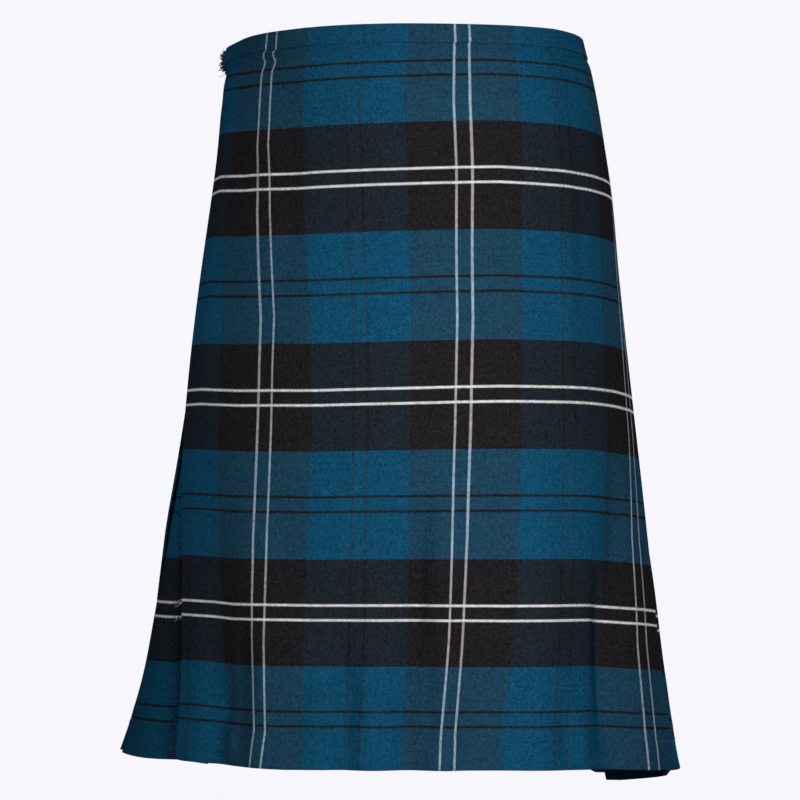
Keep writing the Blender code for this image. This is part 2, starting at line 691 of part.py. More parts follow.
def hip_strap(side, root, towards, run, leather, metal):
    """A strap, its buckle and their leather.

    root is the strap's first station, towards (+1 or -1) its way round the back, and run its length
    from the root to the buckle's front bar.  Lengths along it are from the heel bar, back to root.
    """
    pace = station_arc(PLEATS // 2 + 1, 0.0) - station_arc(PLEATS // 2, 0.0)
    heel_station = root + towards * (run + BUCKLE_LENGTH) / pace

    def place(along, out, across):
        return over_band(heel_station - towards * along / pace, out, across)

    wrap = BAR_RADIUS + STRAP_GAP + TAB_THICK / 2
    tab_mid = STRAP_GAP + TAB_THICK / 2
    heel_out = tab_mid + wrap
    tab = [(-TAB_LENGTH, tab_mid), (-0.6 * TAB_LENGTH, tab_mid), (-0.010, tab_mid), (-0.0035, tab_mid)]
    tab += [(wrap * math.cos(a), heel_out + wrap * math.sin(a)) for a in np.radians((-90, -45, 0, 45, 90))]
    tab += [(-0.006, heel_out + wrap * 0.95), (-0.011, heel_out + wrap * 0.55)]
    strip(f"strap_tab_{side}", tab, TAB_THICK, place, leather, slots=range(3, 9))

    flat = STRAP_GAP + STRAP_THICK / 2
    over = heel_out + wrap + TAB_THICK / 2 + flat
    on_tab = flat + STRAP_GAP + TAB_THICK
    spans = max(2, round(run / 0.012))
    strap = [(BUCKLE_LENGTH + run * (1 - k / spans), flat) for k in range(spans)]
    strap += [(BUCKLE_LENGTH, flat), (0.014, flat + 0.0006), (0.0095, flat + 0.0026), (0.0015, over),
              (-0.002, over), (-0.008, over), (-0.014, over - 0.0016), (-0.020, on_tab + 0.0003),
              (-0.030, on_tab), (-0.037, on_tab), (-0.046, flat + 0.0006), (-0.052, flat + 0.0002)]
    widths = [1.0] * (len(strap) - 1) + [0.42]
    strip(f"strap_{side}", strap, STRAP_THICK, place, leather, widths, slots=(spans + 2, spans + 3))
    keeper(f"strap_keeper_{side}", -0.027, on_tab + STRAP_THICK / 2 + 0.0010, place, leather)

    tip_out = flat + STRAP_THICK / 2 + 0.0007 + BAR_RADIUS

    def frame_out(along):
        return heel_out + (tip_out - heel_out) * along / BUCKLE_LENGTH

    reach = STRAP_WIDTH / 2 + 0.0008 + BAR_RADIUS
    frame = round_frame(BUCKLE_LENGTH, reach, 0.0024, frame_out)
    tube(f"buckle_{side}", [place(*p) for p in frame], BAR_RADIUS, metal, closed=True)

    hook = BAR_RADIUS + 0.0003 + PRONG_RADIUS
    turns = np.radians((200, 165, 130, 95))
    prong = [(hook * math.cos(a), heel_out + hook * math.sin(a), 0.0) for a in turns]
    rest = tip_out + BAR_RADIUS + 0.0003 + PRONG_RADIUS
    prong += [(0.004, heel_out + hook + 0.0001, 0.0), (BUCKLE_LENGTH - 0.002, rest, 0.0),
              (BUCKLE_LENGTH + 0.0022, rest - 0.0002, 0.0)]
    tube(f"buckle_prong_{side}", [place(*p) for p in prong], PRONG_RADIUS, metal, tip=0.6)


# ---- materials and assembly ---------------------------------------------------------------------
def material(name, colour, roughness, metallic=0.0):
    made = bpy.data.materials.new(name)
    made.use_nodes = True
    shader = made.node_tree.nodes["Principled BSDF"]
    shader.inputs["Base Color"].default_value = (*colour, 1.0)
    shader.inputs["Roughness"].default_value = roughness
    shader.inputs["Metallic"].default_value = metallic
    return made


def main():
    for leftover in list(bpy.data.objects):
        bpy.data.objects.remove(leftover)
    tartan = material("tartan", (0.012, 0.050, 0.095), 0.85)
    yarn = material("fringe_yarn", (0.010, 0.045, 0.080), 0.9)
    over_apron(tartan)
    back_pleats(tartan)
    under_apron(tartan)
    waistband_front(tartan)
    waistband_back(tartan)
    waistband_under(tartan)
    apron_fringe(yarn)
    leather = material("black_leather", (0.014, 0.012, 0.011), 0.45)
    steel = material("polished_steel", (0.62, 0.61, 0.60), 0.25, 1.0)
    hip_strap("right", PLEATS - 0.1, -1, 0.066, leather, steel)
    hip_strap("left", 1.08, +1, 0.042, leather, steel)


main()
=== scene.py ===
"""Looks of a worn kilt: tartan shells, stitches, fringe, leather straps and steel buckles.

Metres, +Z up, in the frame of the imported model: the apron faces -Y, the wearer's left hip is at +X,
and the waist opening's centre is the origin.  A place on the cloth is an arc along the ring of its
height (from the middle of the front, positive to the wearer's left), a drop below the waist and a
depth inside the ring, exactly as the solids have it.
"""

import math

import bmesh
import bpy
import numpy as np
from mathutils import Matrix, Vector


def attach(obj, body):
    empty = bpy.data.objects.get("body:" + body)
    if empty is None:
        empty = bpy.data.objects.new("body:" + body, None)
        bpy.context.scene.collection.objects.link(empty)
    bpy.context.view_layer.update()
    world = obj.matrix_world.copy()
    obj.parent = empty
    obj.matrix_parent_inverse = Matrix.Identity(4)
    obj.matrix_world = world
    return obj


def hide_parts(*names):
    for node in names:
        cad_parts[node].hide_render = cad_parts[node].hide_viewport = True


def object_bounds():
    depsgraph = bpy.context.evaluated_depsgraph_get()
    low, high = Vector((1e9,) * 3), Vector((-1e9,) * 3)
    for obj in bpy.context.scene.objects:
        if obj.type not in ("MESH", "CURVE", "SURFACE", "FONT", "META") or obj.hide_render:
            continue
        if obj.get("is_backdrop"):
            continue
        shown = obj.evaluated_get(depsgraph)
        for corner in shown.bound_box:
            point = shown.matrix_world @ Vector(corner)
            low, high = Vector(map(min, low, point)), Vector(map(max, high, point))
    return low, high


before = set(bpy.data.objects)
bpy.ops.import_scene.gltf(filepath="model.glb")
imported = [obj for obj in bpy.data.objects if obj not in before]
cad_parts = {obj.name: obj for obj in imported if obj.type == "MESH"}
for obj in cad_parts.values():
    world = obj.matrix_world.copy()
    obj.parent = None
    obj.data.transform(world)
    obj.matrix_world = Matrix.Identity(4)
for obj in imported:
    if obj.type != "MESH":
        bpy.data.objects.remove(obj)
CAD_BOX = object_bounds()

# ---- sizes shared with the solids ---------------------------------------------------------------
LENGTH = 0.610
WALL = 0.0010
SEAM = 0.0003
BAND_HEIGHT = 0.0145
BAND_GAP = 0.0003
STACK_CLEAR = 0.0012
TOP_EDGE = -0.0016
PLEATS = 16
DEEP_PLEAT = 0.115
UNDER_LAP = 0.022
TUCK_REACH = 0.085      # from the fringed edge to where the pleats begin to tuck in under it
TUCK_FULL = 0.018       # and to where they are tucked in full
FRONT_BLEND = 0.16
STUB = 0.004
UPPER_CLOTH = 0.024
ROUNDNESS = 2.35
BAND_BULGE = 0.0016
CORNER_LIFT = 0.0060
CORNER_REACH = 0.045
FRINGE_TOP = 0.0180
FRINGE_END = LENGTH - 0.009
HEM_LINE = 0.5855       # where the turned-up hem ends
STITCH_LINE = HEM_LINE + 0.0013

SECTION_COLUMNS = ("drop", "half_width", "front", "back", "shift", "fringe_edge", "fold_edge",
                   "pitch", "reach", "tucked", "under_front")
SECTIONS = np.array([
    # drop  half_w  front   back    shift   fringe  fold    pitch  reach  tucked  under
    (0.000, 0.1475, 0.1225, 0.1150, 0.0000, -0.262, 0.190, 0.0014, 3.50, 0.0050, 0.0075),
    (0.024, 0.1530, 0.1260, 0.1190, 0.0005, -0.266, 0.192, 0.0014, 3.50, 0.0050, 0.0075),
    (0.120, 0.1680, 0.1375, 0.1375, 0.0036, -0.283, 0.204, 0.0015, 3.40, 0.0026, 0.0055),
    (0.200, 0.1771, 0.1440, 0.1500, 0.0019, -0.292, 0.212, 0.0016, 3.00, 0.0028, 0.0055),
    (0.330, 0.1926, 0.1550, 0.1650, 0.0003, -0.287, 0.220, 0.0021, 2.50, 0.0045, 0.0070),
    (0.460, 0.2089, 0.1660, 0.1800, -0.0008, -0.256, 0.225, 0.0026, 2.00, 0.0085, 0.0100),
    (0.560, 0.2250, 0.1770, 0.1940, -0.0033, -0.244, 0.231, 0.0030, 1.75, 0.0115, 0.0120),
    (0.610, 0.2402, 0.1830, 0.2040, -0.0052, -0.241, 0.238, 0.0032, 1.65, 0.0130, 0.0130),
])
HEM_LIFT = np.array([
    (-0.50, 0.0070), (-0.28, 0.0125), (-0.17, 0.0100), (-0.10, 0.0045), (0.00, 0.0030),
    (0.09, 0.0010), (0.15, -0.0025), (0.20, -0.0040), (0.32, 0.0030), (0.50, 0.0070),
])
WAIST_LIFT = np.array([
    (-0.50, 0.0000), (-0.29, -0.0035), (-0.16, -0.0032), (-0.05, -0.0006), (0.04, 0.0012),
    (0.12, 0.0030), (0.20, 0.0022), (0.50, 0.0000),
])
APRON_FOLDS = (
    # arc above, arc at the hem, half width, how far out, drops where it begins and where it is full
    (-0.214, -0.200, 0.016, -0.0060, 0.36, 0.58),
    (-0.172, -0.160, 0.022, 0.0080, 0.30, 0.58),
    (-0.098, -0.097, 0.013, -0.0066, 0.42, 0.57),
    (-0.072, -0.076, 0.013, 0.0046, 0.40, 0.58),
    (-0.032, -0.043, 0.012, -0.0084, 0.30, 0.52),
    (-0.004, -0.015, 0.013, 0.0080, 0.34, 0.54),
    (0.074, 0.066, 0.022, 0.0072, 0.26, 0.55),
    (0.140, 0.138, 0.020, -0.0082, 0.28, 0.55),
    (0.172, 0.176, 0.032, 0.0095, 0.30, 0.58),      # the deep pleat pushes the apron out here
)

# ---- the check ----------------------------------------------------------------------------------
SETT = 0.1777           # one repeat of the check, the same in warp and weft
PAIR_HALF = 0.00615     # from the middle of a pair of lines to each line
WHITE_HALF = 0.0010     # half the width of a white line
BLACK_HALF = 0.0011     # half the width of a thin black line
TWILL = 0.00165         # one repeat of the twill, four threads

# Where the weft's lines lie in front: drop, and the check's count of repeats from its first pair.
WEFT_PLACES = np.array([
    (0.0000, -0.711), (0.0375, -0.50), (0.0823, -0.25), (0.1274, 0.00), (0.1724, 0.25),
    (0.2168, 0.50), (0.2627, 0.75), (0.3072, 1.00), (0.3516, 1.25), (0.3951, 1.50),
    (0.4401, 1.75), (0.4834, 2.00), (0.5266, 2.25), (0.5687, 2.50), (0.6100, 2.735),
])
# How much lower than that the weft runs at an arc: at the first, second and third white pair.
WEFT_BOW = np.array([
    (-0.300, -0.0040, 0.0000, 0.0020), (-0.240, -0.0040, 0.0007, 0.0020),
    (-0.190, 0.0001, 0.0031, 0.0031), (-0.129, 0.0015, 0.0027, 0.0010),
    (-0.047, -0.0002, 0.0008, 0.0007), (0.037, -0.0032, -0.0018, 0.0008),
    (0.119, -0.0016, -0.0025, -0.0002), (0.160, -0.0004, -0.0019, 0.0013),
    (0.230, 0.0020, 0.0015, 0.0031),
])
# Where the warp's lines lie across the front: repeats from the middle pair, then an arc a row.
WARP_REPEATS = np.array([-1.25, -1.00, -0.75, -0.25, 0.00, 0.25, 0.75, 1.00])
WARP_ARCS = np.array([
    # drop   -1.25    -1      -0.75   -0.25    0       0.25    0.75    1
    (0.000, -0.1990, -0.1548, -0.1160, -0.0320, 0.0133, 0.0580, 0.1460, 0.1905),
    (0.013, -0.1990, -0.1502, -0.1160, -0.0332, 0.0122, 0.0580, 0.1460, 0.1905),
    (0.017, -0.1990, -0.1582, -0.1160, -0.0337, 0.0117, 0.0580, 0.1460, 0.1905),
    (0.026, -0.1999, -0.1524, -0.1168, -0.0351, 0.0106, 0.0583, 0.1462, 0.1907),
    (0.034, -0.2016, -0.1575, -0.1185, -0.0362, 0.0101, 0.0588, 0.1466, 0.1911),
    (0.064, -0.2080, -0.1616, -0.1247, -0.0406, 0.0080, 0.0609, 0.1480, 0.1925),
    (0.096, -0.2121, -0.1662, -0.1253, -0.0404, 0.0072, 0.0597, 0.1476, 0.1921),
    (0.154, -0.2195, -0.1637, -0.1263, -0.0400, 0.0064, 0.0575, 0.1470, 0.1915),
    (0.243, -0.2121, -0.1569, -0.1202, -0.0380, 0.0068, 0.0575, 0.1470, 0.1910),
    (0.335, -0.2107, -0.1595, -0.1192, -0.0399, 0.0034, 0.0546, 0.1470, 0.1890),
    (0.420, -0.2080, -0.1626, -0.1242, -0.0418, -0.0014, 0.0499, 0.1412, 0.1765),
    (0.508, -0.2018, -0.1634, -0.1277, -0.0426, -0.0073, 0.0438, 0.1350, 0.1710),
    (0.580, -0.1926, -0.1607, -0.1290, -0.0477, -0.0134, 0.0332, 0.1340, 0.1734),
    (0.610, -0.1920, -0.1647, -0.1290, -0.0480, -0.0147, 0.0332, 0.1340, 0.1750),
])
PLEAT_SHOWS = 3 * SETT / PLEATS     # cloth that each pleat shows at the hip: three repeats in all
PLEATS_START = SETT + 0.010     # the warp's place at station 0: no white pair shows at the hips


# ---- outline ------------------------------------------------------------------------------------
def smooth(value, low, high):
    """0 up to low and 1 from high on, with an even turn between."""
    share = np.clip((value - low) / (high - low), 0.0, 1.0)
    return share * share * (3 - 2 * share)


def swell(arcs, middle, half):
    """1 in the middle, dying away over half to each side."""
    return np.exp(-((arcs - middle) / half) ** 2)


def curve_through(places, values, fine):
    """A smooth curve that has values at places, read at fine."""
    slopes = np.gradient(values, places, axis=0)
    index = np.clip(np.searchsorted(places, fine, side="right") - 1, 0, len(places) - 2)
    span, t = places[index + 1] - places[index], fine - places[index]
    if values.ndim > 1:
        span, t = span[:, None], t[:, None]
    t = t / span
    start, end = (2 * t ** 3 - 3 * t ** 2 + 1), (3 * t ** 2 - 2 * t ** 3)
    leave, arrive = (t ** 3 - 2 * t ** 2 + t), (t ** 3 - t ** 2)
    curve = start * values[index] + end * values[index + 1]
    return curve + span * (leave * slopes[index] + arrive * slopes[index + 1])


FINE_DROPS = np.linspace(0, LENGTH, 611)    # every millimetre
CURVES = {column: curve_through(SECTIONS[:, 0], SECTIONS[:, place], FINE_DROPS)
          for place, column in enumerate(SECTION_COLUMNS) if place}


def at(column, drop):
    """The value of a column of SECTIONS at any drop."""
    return float(np.interp(drop, FINE_DROPS, CURVES[column]))


class Ring:
    """The outline at one drop, read by arc from the middle of the front."""

    POINTS = 1440
    cache = {}

    def __init__(self, drop):
        half, front, back = at("half_width", drop), at("front", drop), at("back", drop)
        turn = np.linspace(-math.pi, math.pi, self.POINTS + 1)
        sine, cosine = np.sin(turn), np.cos(turn)
        power = 2 / ROUNDNESS
        self.x = at("shift", drop) + half * np.sign(sine) * np.abs(sine) ** power
        self.y = -np.where(cosine > 0, front, back) * np.sign(cosine) * np.abs(cosine) ** power
        arc = np.concatenate([[0], np.cumsum(np.hypot(np.diff(self.x), np.diff(self.y)))])
        self.arc = arc - arc[self.POINTS // 2]
        self.girth = self.arc[-1] - self.arc[0]

    @classmethod
    def of(cls, drop):
        key = round(float(drop), 6)
        if key not in cls.cache:
            cls.cache[key] = cls(drop)
        return cls.cache[key]

    def wrap(self, arcs):
        return (arcs - self.arc[0]) % self.girth + self.arc[0]

    def points(self, arcs):
        arcs = self.wrap(arcs)
        return np.stack([np.interp(arcs, self.arc, self.x), np.interp(arcs, self.arc, self.y)], -1)

    def inward(self, arcs, span=0.004):
        along = self.points(arcs + span) - self.points(arcs - span)
        along /= np.linalg.norm(along, axis=-1, keepdims=True)
        return np.stack([-along[..., 1], along[..., 0]], -1)


def height(arcs, drop):
    ring = Ring.of(drop)
    share = ring.wrap(arcs) / ring.girth
    hem = -LENGTH + np.interp(share, *HEM_LIFT.T)
    top = TOP_EDGE + np.interp(share, *WAIST_LIFT.T)
    return top + (hem - top) * drop / LENGTH


def lay(arcs, depths, drop, sags=0.0):
    """Points at arcs and depths inside the ring of a drop."""
    ring = Ring.of(drop)
    flat = ring.points(arcs) + ring.inward(arcs) * np.asarray(depths)[..., None]
    return np.column_stack([flat, height(arcs, drop) - sags])


TAPER_END, TAPER_POWER = 0.06, 0.8  # how a crease dies away towards its ends


def crease_relief(creases, arcs, drop):
    """How far creases push the cloth out: each runs between two places and dies away round it."""
    out = np.zeros(len(arcs))
    for arc_top, top, arc_low, low, half, size in creases:
        run = np.array([arc_low - arc_top, low - top])
        length = float(np.hypot(*run))
        from_top = np.stack([arcs - arc_top, np.full(len(arcs), drop - top)], -1)
        share = np.clip(from_top @ run / length ** 2, 0.0, 1.0)
        off = np.linalg.norm(from_top - share[:, None] * run, axis=1)
        taper = np.sin(math.pi * (TAPER_END + (1 - 2 * TAPER_END) * share)) ** TAPER_POWER
        out += size * taper * np.exp(-(off / half) ** 2)
    return out


# Creases of the apron: arc and drop of the upper end, of the lower end, half width, how far out.
APRON_CREASES = (
    (0.116, 0.030, 0.121, 0.260, 0.007, -0.0016),
    (0.098, 0.050, 0.104, 0.300, 0.012, 0.0012),
    (-0.262, 0.050, -0.185, 0.041, 0.006, -0.0014),
    (-0.258, 0.036, -0.200, 0.032, 0.006, 0.0010),
    (-0.190, 0.535, -0.198, 0.604, 0.006, -0.0040),
    (-0.200, 0.560, -0.186, 0.606, 0.006, 0.0030),
    (-0.128, 0.550, -0.134, 0.606, 0.007, -0.0030),
    (-0.088, 0.530, -0.093, 0.606, 0.006, -0.0024),
    (-0.060, 0.565, -0.063, 0.606, 0.007, 0.0024),
    (-0.026, 0.380, -0.034, 0.520, 0.007, -0.0048),
    (0.016, 0.500, 0.010, 0.604, 0.008, -0.0018),
    (0.040, 0.560, 0.036, 0.608, 0.006, -0.0026),
    (0.086, 0.560, 0.090, 0.606, 0.006, -0.0028),
    (0.106, 0.570, 0.110, 0.606, 0.007, 0.0030),
    (0.130, 0.450, 0.132, 0.600, 0.009, -0.0048),
    (-0.024, 0.500, -0.027, 0.606, 0.007, -0.0046),
    (-0.176, 0.490, -0.178, 0.606, 0.008, -0.0046),
    (0.158, 0.330, 0.152, 0.480, 0.014, -0.0050),
    (-0.140, 0.040, -0.142, 0.260, 0.015, -0.0032),
    (-0.030, 0.200, -0.022, 0.420, 0.016, -0.0010),
    (-0.150, 0.160, -0.140, 0.400, 0.018, 0.0012),
    (0.050, 0.150, 0.058, 0.400, 0.018, 0.0010),
)
# Creases of the pleated back, by station instead of arc.
BACK_CREASES = (
    (2.4, 0.210, 2.6, 0.560, 0.25, 0.0012), (3.5, 0.330, 3.4, 0.600, 0.22, -0.0014),
    (4.6, 0.180, 4.7, 0.420, 0.26, -0.0010), (5.5, 0.400, 5.6, 0.606, 0.24, 0.0016),
    (6.4, 0.260, 6.5, 0.500, 0.22, 0.0012), (7.6, 0.350, 7.4, 0.606, 0.25, -0.0014),
    (8.5, 0.200, 8.6, 0.390, 0.24, 0.0010), (9.4, 0.430, 9.5, 0.606, 0.22, 0.0015),
    (10.5, 0.240, 10.6, 0.540, 0.25, -0.0012), (11.6, 0.380, 11.4, 0.600, 0.24, 0.0014),
    (12.5, 0.190, 12.4, 0.460, 0.26, 0.0011), (13.4, 0.360, 13.6, 0.606, 0.24, -0.0013),
)
UNDER_CREASES = (
    (-0.120, 0.300, -0.126, 0.600, 0.014, -0.0014),
    (-0.020, 0.200, -0.012, 0.560, 0.016, 0.0014),
    (0.090, 0.380, 0.096, 0.600, 0.013, -0.0014),
)


STITCH_DENT = 0.0004    # how deep the hem's stitches pull the cloth in
STITCH_HALF = 0.0009    # half the height of that dent
BULGE_END = 0.100       # drop where the swell below the waistband has died away
CORNER_FADE = (0.010, 0.022)    # drops between which the fringed corner's lift dies away
DEEP_LEAN = 0.010       # how far the folded-under layers lean inwards at the hem
LEAN_DROP = 0.42        # drop where they begin to lean
LEAN_RISE = (0.010, 0.050)      # how far from the fold the lean begins and where it is full
LEAN_FALL = (DEEP_PLEAT + 0.010, DEEP_PLEAT + 0.080)    # where it dies away again
PRESS_REACH = 0.02      # how far from the fold the apron's troughs press in full


def apron_depth(arcs, drop):
    """How deep the over apron's outer face lies inside the ring: its folds stand out of it."""
    out = crease_relief(APRON_CREASES, arcs, drop)
    for above, below, half, size, begins, full in APRON_FOLDS:
        middle = above + (below - above) * smooth(drop, begins, LENGTH)
        out += size * swell(arcs, middle, half) * smooth(drop, begins, full)
    bulge = BAND_BULGE * smooth(drop, BAND_HEIGHT, UPPER_CLOTH)
    out += bulge * (1 - smooth(drop, UPPER_CLOTH, BULGE_END))
    out -= STITCH_DENT * math.exp(-((drop - STITCH_LINE) / STITCH_HALF) ** 2)
    from_edge = (arcs - at("fringe_edge", drop)) / CORNER_REACH
    corner = 1 - smooth(drop, *CORNER_FADE)
    return -out - CORNER_LIFT * np.exp(-3 * from_edge ** 2) * corner


def leaning(arcs, drop):
    """How far the folded-under layers lean inwards by themselves."""
    from_fold = at("fold_edge", drop) - arcs
    near = smooth(from_fold, *LEAN_RISE) * (1 - smooth(from_fold, *LEAN_FALL))
    return DEEP_LEAN * near * smooth(drop, LEAN_DROP, LENGTH)


def pressed(arcs, drop):
    """How far the layers under the apron are pressed in by its troughs, or lean inwards."""
    trough = np.maximum(0.0, apron_depth(arcs, drop))
    from_fold = at("fold_edge", drop) - arcs
    return trough * smooth(from_fold, 0.0, PRESS_REACH) + leaning(arcs, drop)


# ---- pleats: stations at the pleats' edges ------------------------------------------------------
SPARE_STATIONS = 5
STATIONS = np.arange(-SPARE_STATIONS, PLEATS + SPARE_STATIONS + 1)
HEM_SHARES = np.concatenate([np.full(PLEATS - 1, 1.0), [3.5]])     # the last pleat opens wide
OPENS_DROP = 0.200      # drop where it begins to


def pleat_edges(drop):
    """The arcs of all the stations at a drop."""
    ring = Ring.of(drop)
    start = at("fold_edge", drop)
    end = ring.girth + at("fringe_edge", drop) + UNDER_LAP
    shares = 1 + (HEM_SHARES - 1) * smooth(drop, OPENS_DROP, LENGTH)
    widths = shares * (end - start) / shares.sum()
    edges = start + np.concatenate([[0], np.cumsum(widths)])
    before = start - widths[0] * np.arange(SPARE_STATIONS, 0, -1)
    after = end + widths[-1] * np.arange(1, SPARE_STATIONS + 1)
    return np.concatenate([before, edges, after])


def station_arcs(stations, drop):
    return np.interp(stations, STATIONS, pleat_edges(drop))


CLOSER = 0.52           # how much closer the last pleats' layers lie low down
CLOSER_STATIONS, CLOSER_DROPS = (12.5, 14.6), (0.36, 0.50)


def layer_pitch(stations, drop):
    """Depth from one layer of the pleats to the next."""
    closer = CLOSER * smooth(stations, *CLOSER_STATIONS) * smooth(drop, *CLOSER_DROPS)
    return at("pitch", drop) * (1 - closer)


# How far the pleats at the left hip lie inside the outline near the hem, and where.
HIP_TRIM = np.array([(0.0, 0.0), (0.54, 0.0), (0.575, 0.0015), (0.600, 0.0042), (0.610, 0.0055)])
HIP_ARC, HIP_HALF = 0.275, 0.035
# Hollows of the pleats: depth, drops each grows between, arc from its edge, half width.
LAST_DENT = (0.0038, (0.40, 0.54), 0.0, 0.018)          # where the last pleat starts
LAST_HEM = (0.0026, (0.57, LENGTH), 0.030, 0.060)       # on the last pleat, at the hem
EDGE_VALLEY = (0.0160, (0.36, 0.52), -0.015, 0.019)     # beside the apron's free edge


def hollow(sizes, edge, arcs, drop):
    depth, grows, beyond, half = sizes
    return depth * smooth(drop, *grows) * swell(arcs, edge + beyond, half)


def eased_in(arcs, drop):
    """How far all the pleats' layers lie inside the outline."""
    hip = np.interp(drop, *HIP_TRIM.T) * swell(arcs, HIP_ARC, HIP_HALF)
    last = station_arcs(PLEATS - 1.0, drop)
    free_edge = Ring.of(drop).girth + at("fringe_edge", drop)
    dent, hem = (hollow(sizes, last, arcs, drop) for sizes in (LAST_DENT, LAST_HEM))
    return hip + dent + hem + hollow(EDGE_VALLEY, free_edge, arcs, drop)


def tucked(stations, drop):
    """Extra depth of the last pleats, under the apron's fringed edge."""
    edge = Ring.of(drop).girth + at("fringe_edge", drop)
    low = np.floor(stations)
    near, far = (smooth(station_arcs(station, drop), edge - TUCK_REACH, edge - TUCK_FULL)
                 for station in (low, low + 1))
    return at("tucked", drop) * (near + (far - near) * (stations - low))


def stack_depth(stations, drop):
    layers = np.minimum(1 + at("reach", drop), PLEATS + 1 - stations)
    return 2 * at("pitch", drop) * layers + WALL + tucked(stations, drop)


def folds_end(drop):
    edges = station_arcs(np.array([0.0, -at("reach", drop)]), drop)
    return at("fold_edge", drop) - max(DEEP_PLEAT, edges[0] - edges[1])


# ---- where the cloth's threads lie --------------------------------------------------------------
WHITE_PAIR_ROWS = [3, 7, 11]        # the rows of WEFT_PLACES with a white pair
BOW_BEGINS = (-0.02, 0.05)          # drops between which the weft's bow grows
BOW_EASES, BOW_EASED = (0.54, 0.61), 0.7    # drops between which it goes flatter, and its share


def warp_at(arcs, drop):
    """The cloth's coordinate across the warp, in metres from the middle pair, on the front."""
    row = np.array([np.interp(drop, WARP_ARCS[:, 0], column) for column in WARP_ARCS[:, 1:].T])
    cloth = np.interp(arcs, row, WARP_REPEATS * SETT)
    return cloth + np.minimum(0.0, arcs - row[0]) + np.maximum(0.0, arcs - row[-1])


def weft_at(arcs, drop):
    """The cloth's coordinate down the weft, in metres from the first white pair, on the front."""
    bows = [np.interp(arcs, WEFT_BOW[:, 0], column) for column in WEFT_BOW[:, 1:].T]
    first, second, third = WEFT_PLACES[WHITE_PAIR_ROWS, 0]
    upper = np.clip((drop - first) / (second - first), 0, 1)
    lower = np.clip((drop - second) / (third - second), 0, 1)
    bow = bows[0] + (bows[1] - bows[0]) * upper + (bows[2] - bows[1]) * lower
    bow *= smooth(drop, *BOW_BEGINS) * (1 - BOW_EASED * smooth(drop, *BOW_EASES))
    return np.interp(drop - bow, *WEFT_PLACES.T) * SETT


# ---- walls --------------------------------------------------------------------------------------
def offset_pair(arcs, depths, thick):
    """The two faces of a wall whose middle line is given by arcs and depths."""
    line = np.stack([arcs, depths], -1)
    along = np.diff(line, axis=0)
    along /= np.linalg.norm(along, axis=1)[:, None]
    normals = np.stack([along[:, 1], -along[:, 0]], -1)
    before, after = np.vstack([normals[:1], normals]), np.vstack([normals, normals[-1:]])
    middle = before + after
    middle /= np.linalg.norm(middle, axis=1)[:, None]
    reach = thick / 2 / np.clip((middle * after).sum(axis=1), 0.6, 1.0)
    return line + middle * reach[:, None], line - middle * reach[:, None]


def linked(name, data):
    """A new object in the scene."""
    piece = bpy.data.objects.new(name, data)
    bpy.context.scene.collection.objects.link(piece)
    return piece


def meshed(name, shape):
    """A new mesh from a bmesh, which is freed."""
    mesh = bpy.data.meshes.new(name)
    shape.to_mesh(mesh)
    shape.free()
    return mesh


def finished(name, mesh, material, sharp=50):
    """A smooth piece from a mesh, with its edges sharp from an angle on."""
    mesh.shade_smooth()
    mesh.set_sharp_from_angle(angle=math.radians(sharp))
    mesh.materials.append(material)
    return linked(name, mesh)


def wall(name, outer, inner, cloth, material):
    """A closed wall between two grids of points, with the cloth's coordinates as its UV map."""
    rows, columns = outer.shape[:2]
    vertices = np.concatenate([outer.reshape(-1, 3), inner.reshape(-1, 3)])
    uv = np.concatenate([cloth.reshape(-1, 2)] * 2).astype(np.float32)
    near = np.arange(rows * columns).reshape(rows, columns)
    far = near + rows * columns
    quads = [np.stack([near[:-1, :-1], near[1:, :-1], near[1:, 1:], near[:-1, 1:]], -1),
             np.stack([far[:-1, :-1], far[:-1, 1:], far[1:, 1:], far[1:, :-1]], -1)]
    faces = [quad.reshape(-1, 4) for quad in quads]
    rims = ((near[0], far[0]), (far[-1], near[-1]),
            (far[:, 0], near[:, 0]), (near[:, -1], far[:, -1]))
    for a, b in rims:
        faces.append(np.stack([a[:-1], a[1:], b[1:], b[:-1]], -1))
    mesh = bpy.data.meshes.new(name)
    mesh.from_pydata(vertices.tolist(), [], np.concatenate(faces).tolist())
    layer = mesh.uv_layers.new(name="cloth")
    corners = np.empty(len(mesh.loops), dtype=np.int32)
    mesh.loops.foreach_get("vertex_index", corners)
    layer.data.foreach_set("uv", uv[corners].ravel())
    shape = bmesh.new()
    shape.from_mesh(mesh)
    if shape.calc_volume(signed=True) < 0:
        bmesh.ops.reverse_faces(shape, faces=shape.faces[:])
    shape.to_mesh(mesh)
    shape.free()
    return finished(name, mesh, material)


def cloth_piece(name, drops, path_at, material, thick_at=None):
    """A wall through path_at(drop), which gives arcs, depths, sags, warp and weft coordinates."""
    outer, inner, cloth = [], [], []
    for drop in drops:
        arcs, depths, sags, warp, weft = path_at(drop)
        thick = WALL if thick_at is None else thick_at(drop)
        for face, store in zip(offset_pair(arcs, depths, thick), (outer, inner)):
            store.append(lay(face[:, 0], face[:, 1], drop, sags))
        cloth.append(np.stack([warp, weft], -1))
    return wall(name, np.array(outer), np.array(inner), np.array(cloth), material)


def turn_stops(arc, depth, pitch, side, count=5):
    """A fold's round edge, from one layer to the next one in; side is +1 or -1."""
    angles = np.linspace(-math.pi / 2, math.pi / 2, count)
    return arc + side * pitch / 2 * np.cos(angles), depth + pitch / 2 * (1 + np.sin(angles))


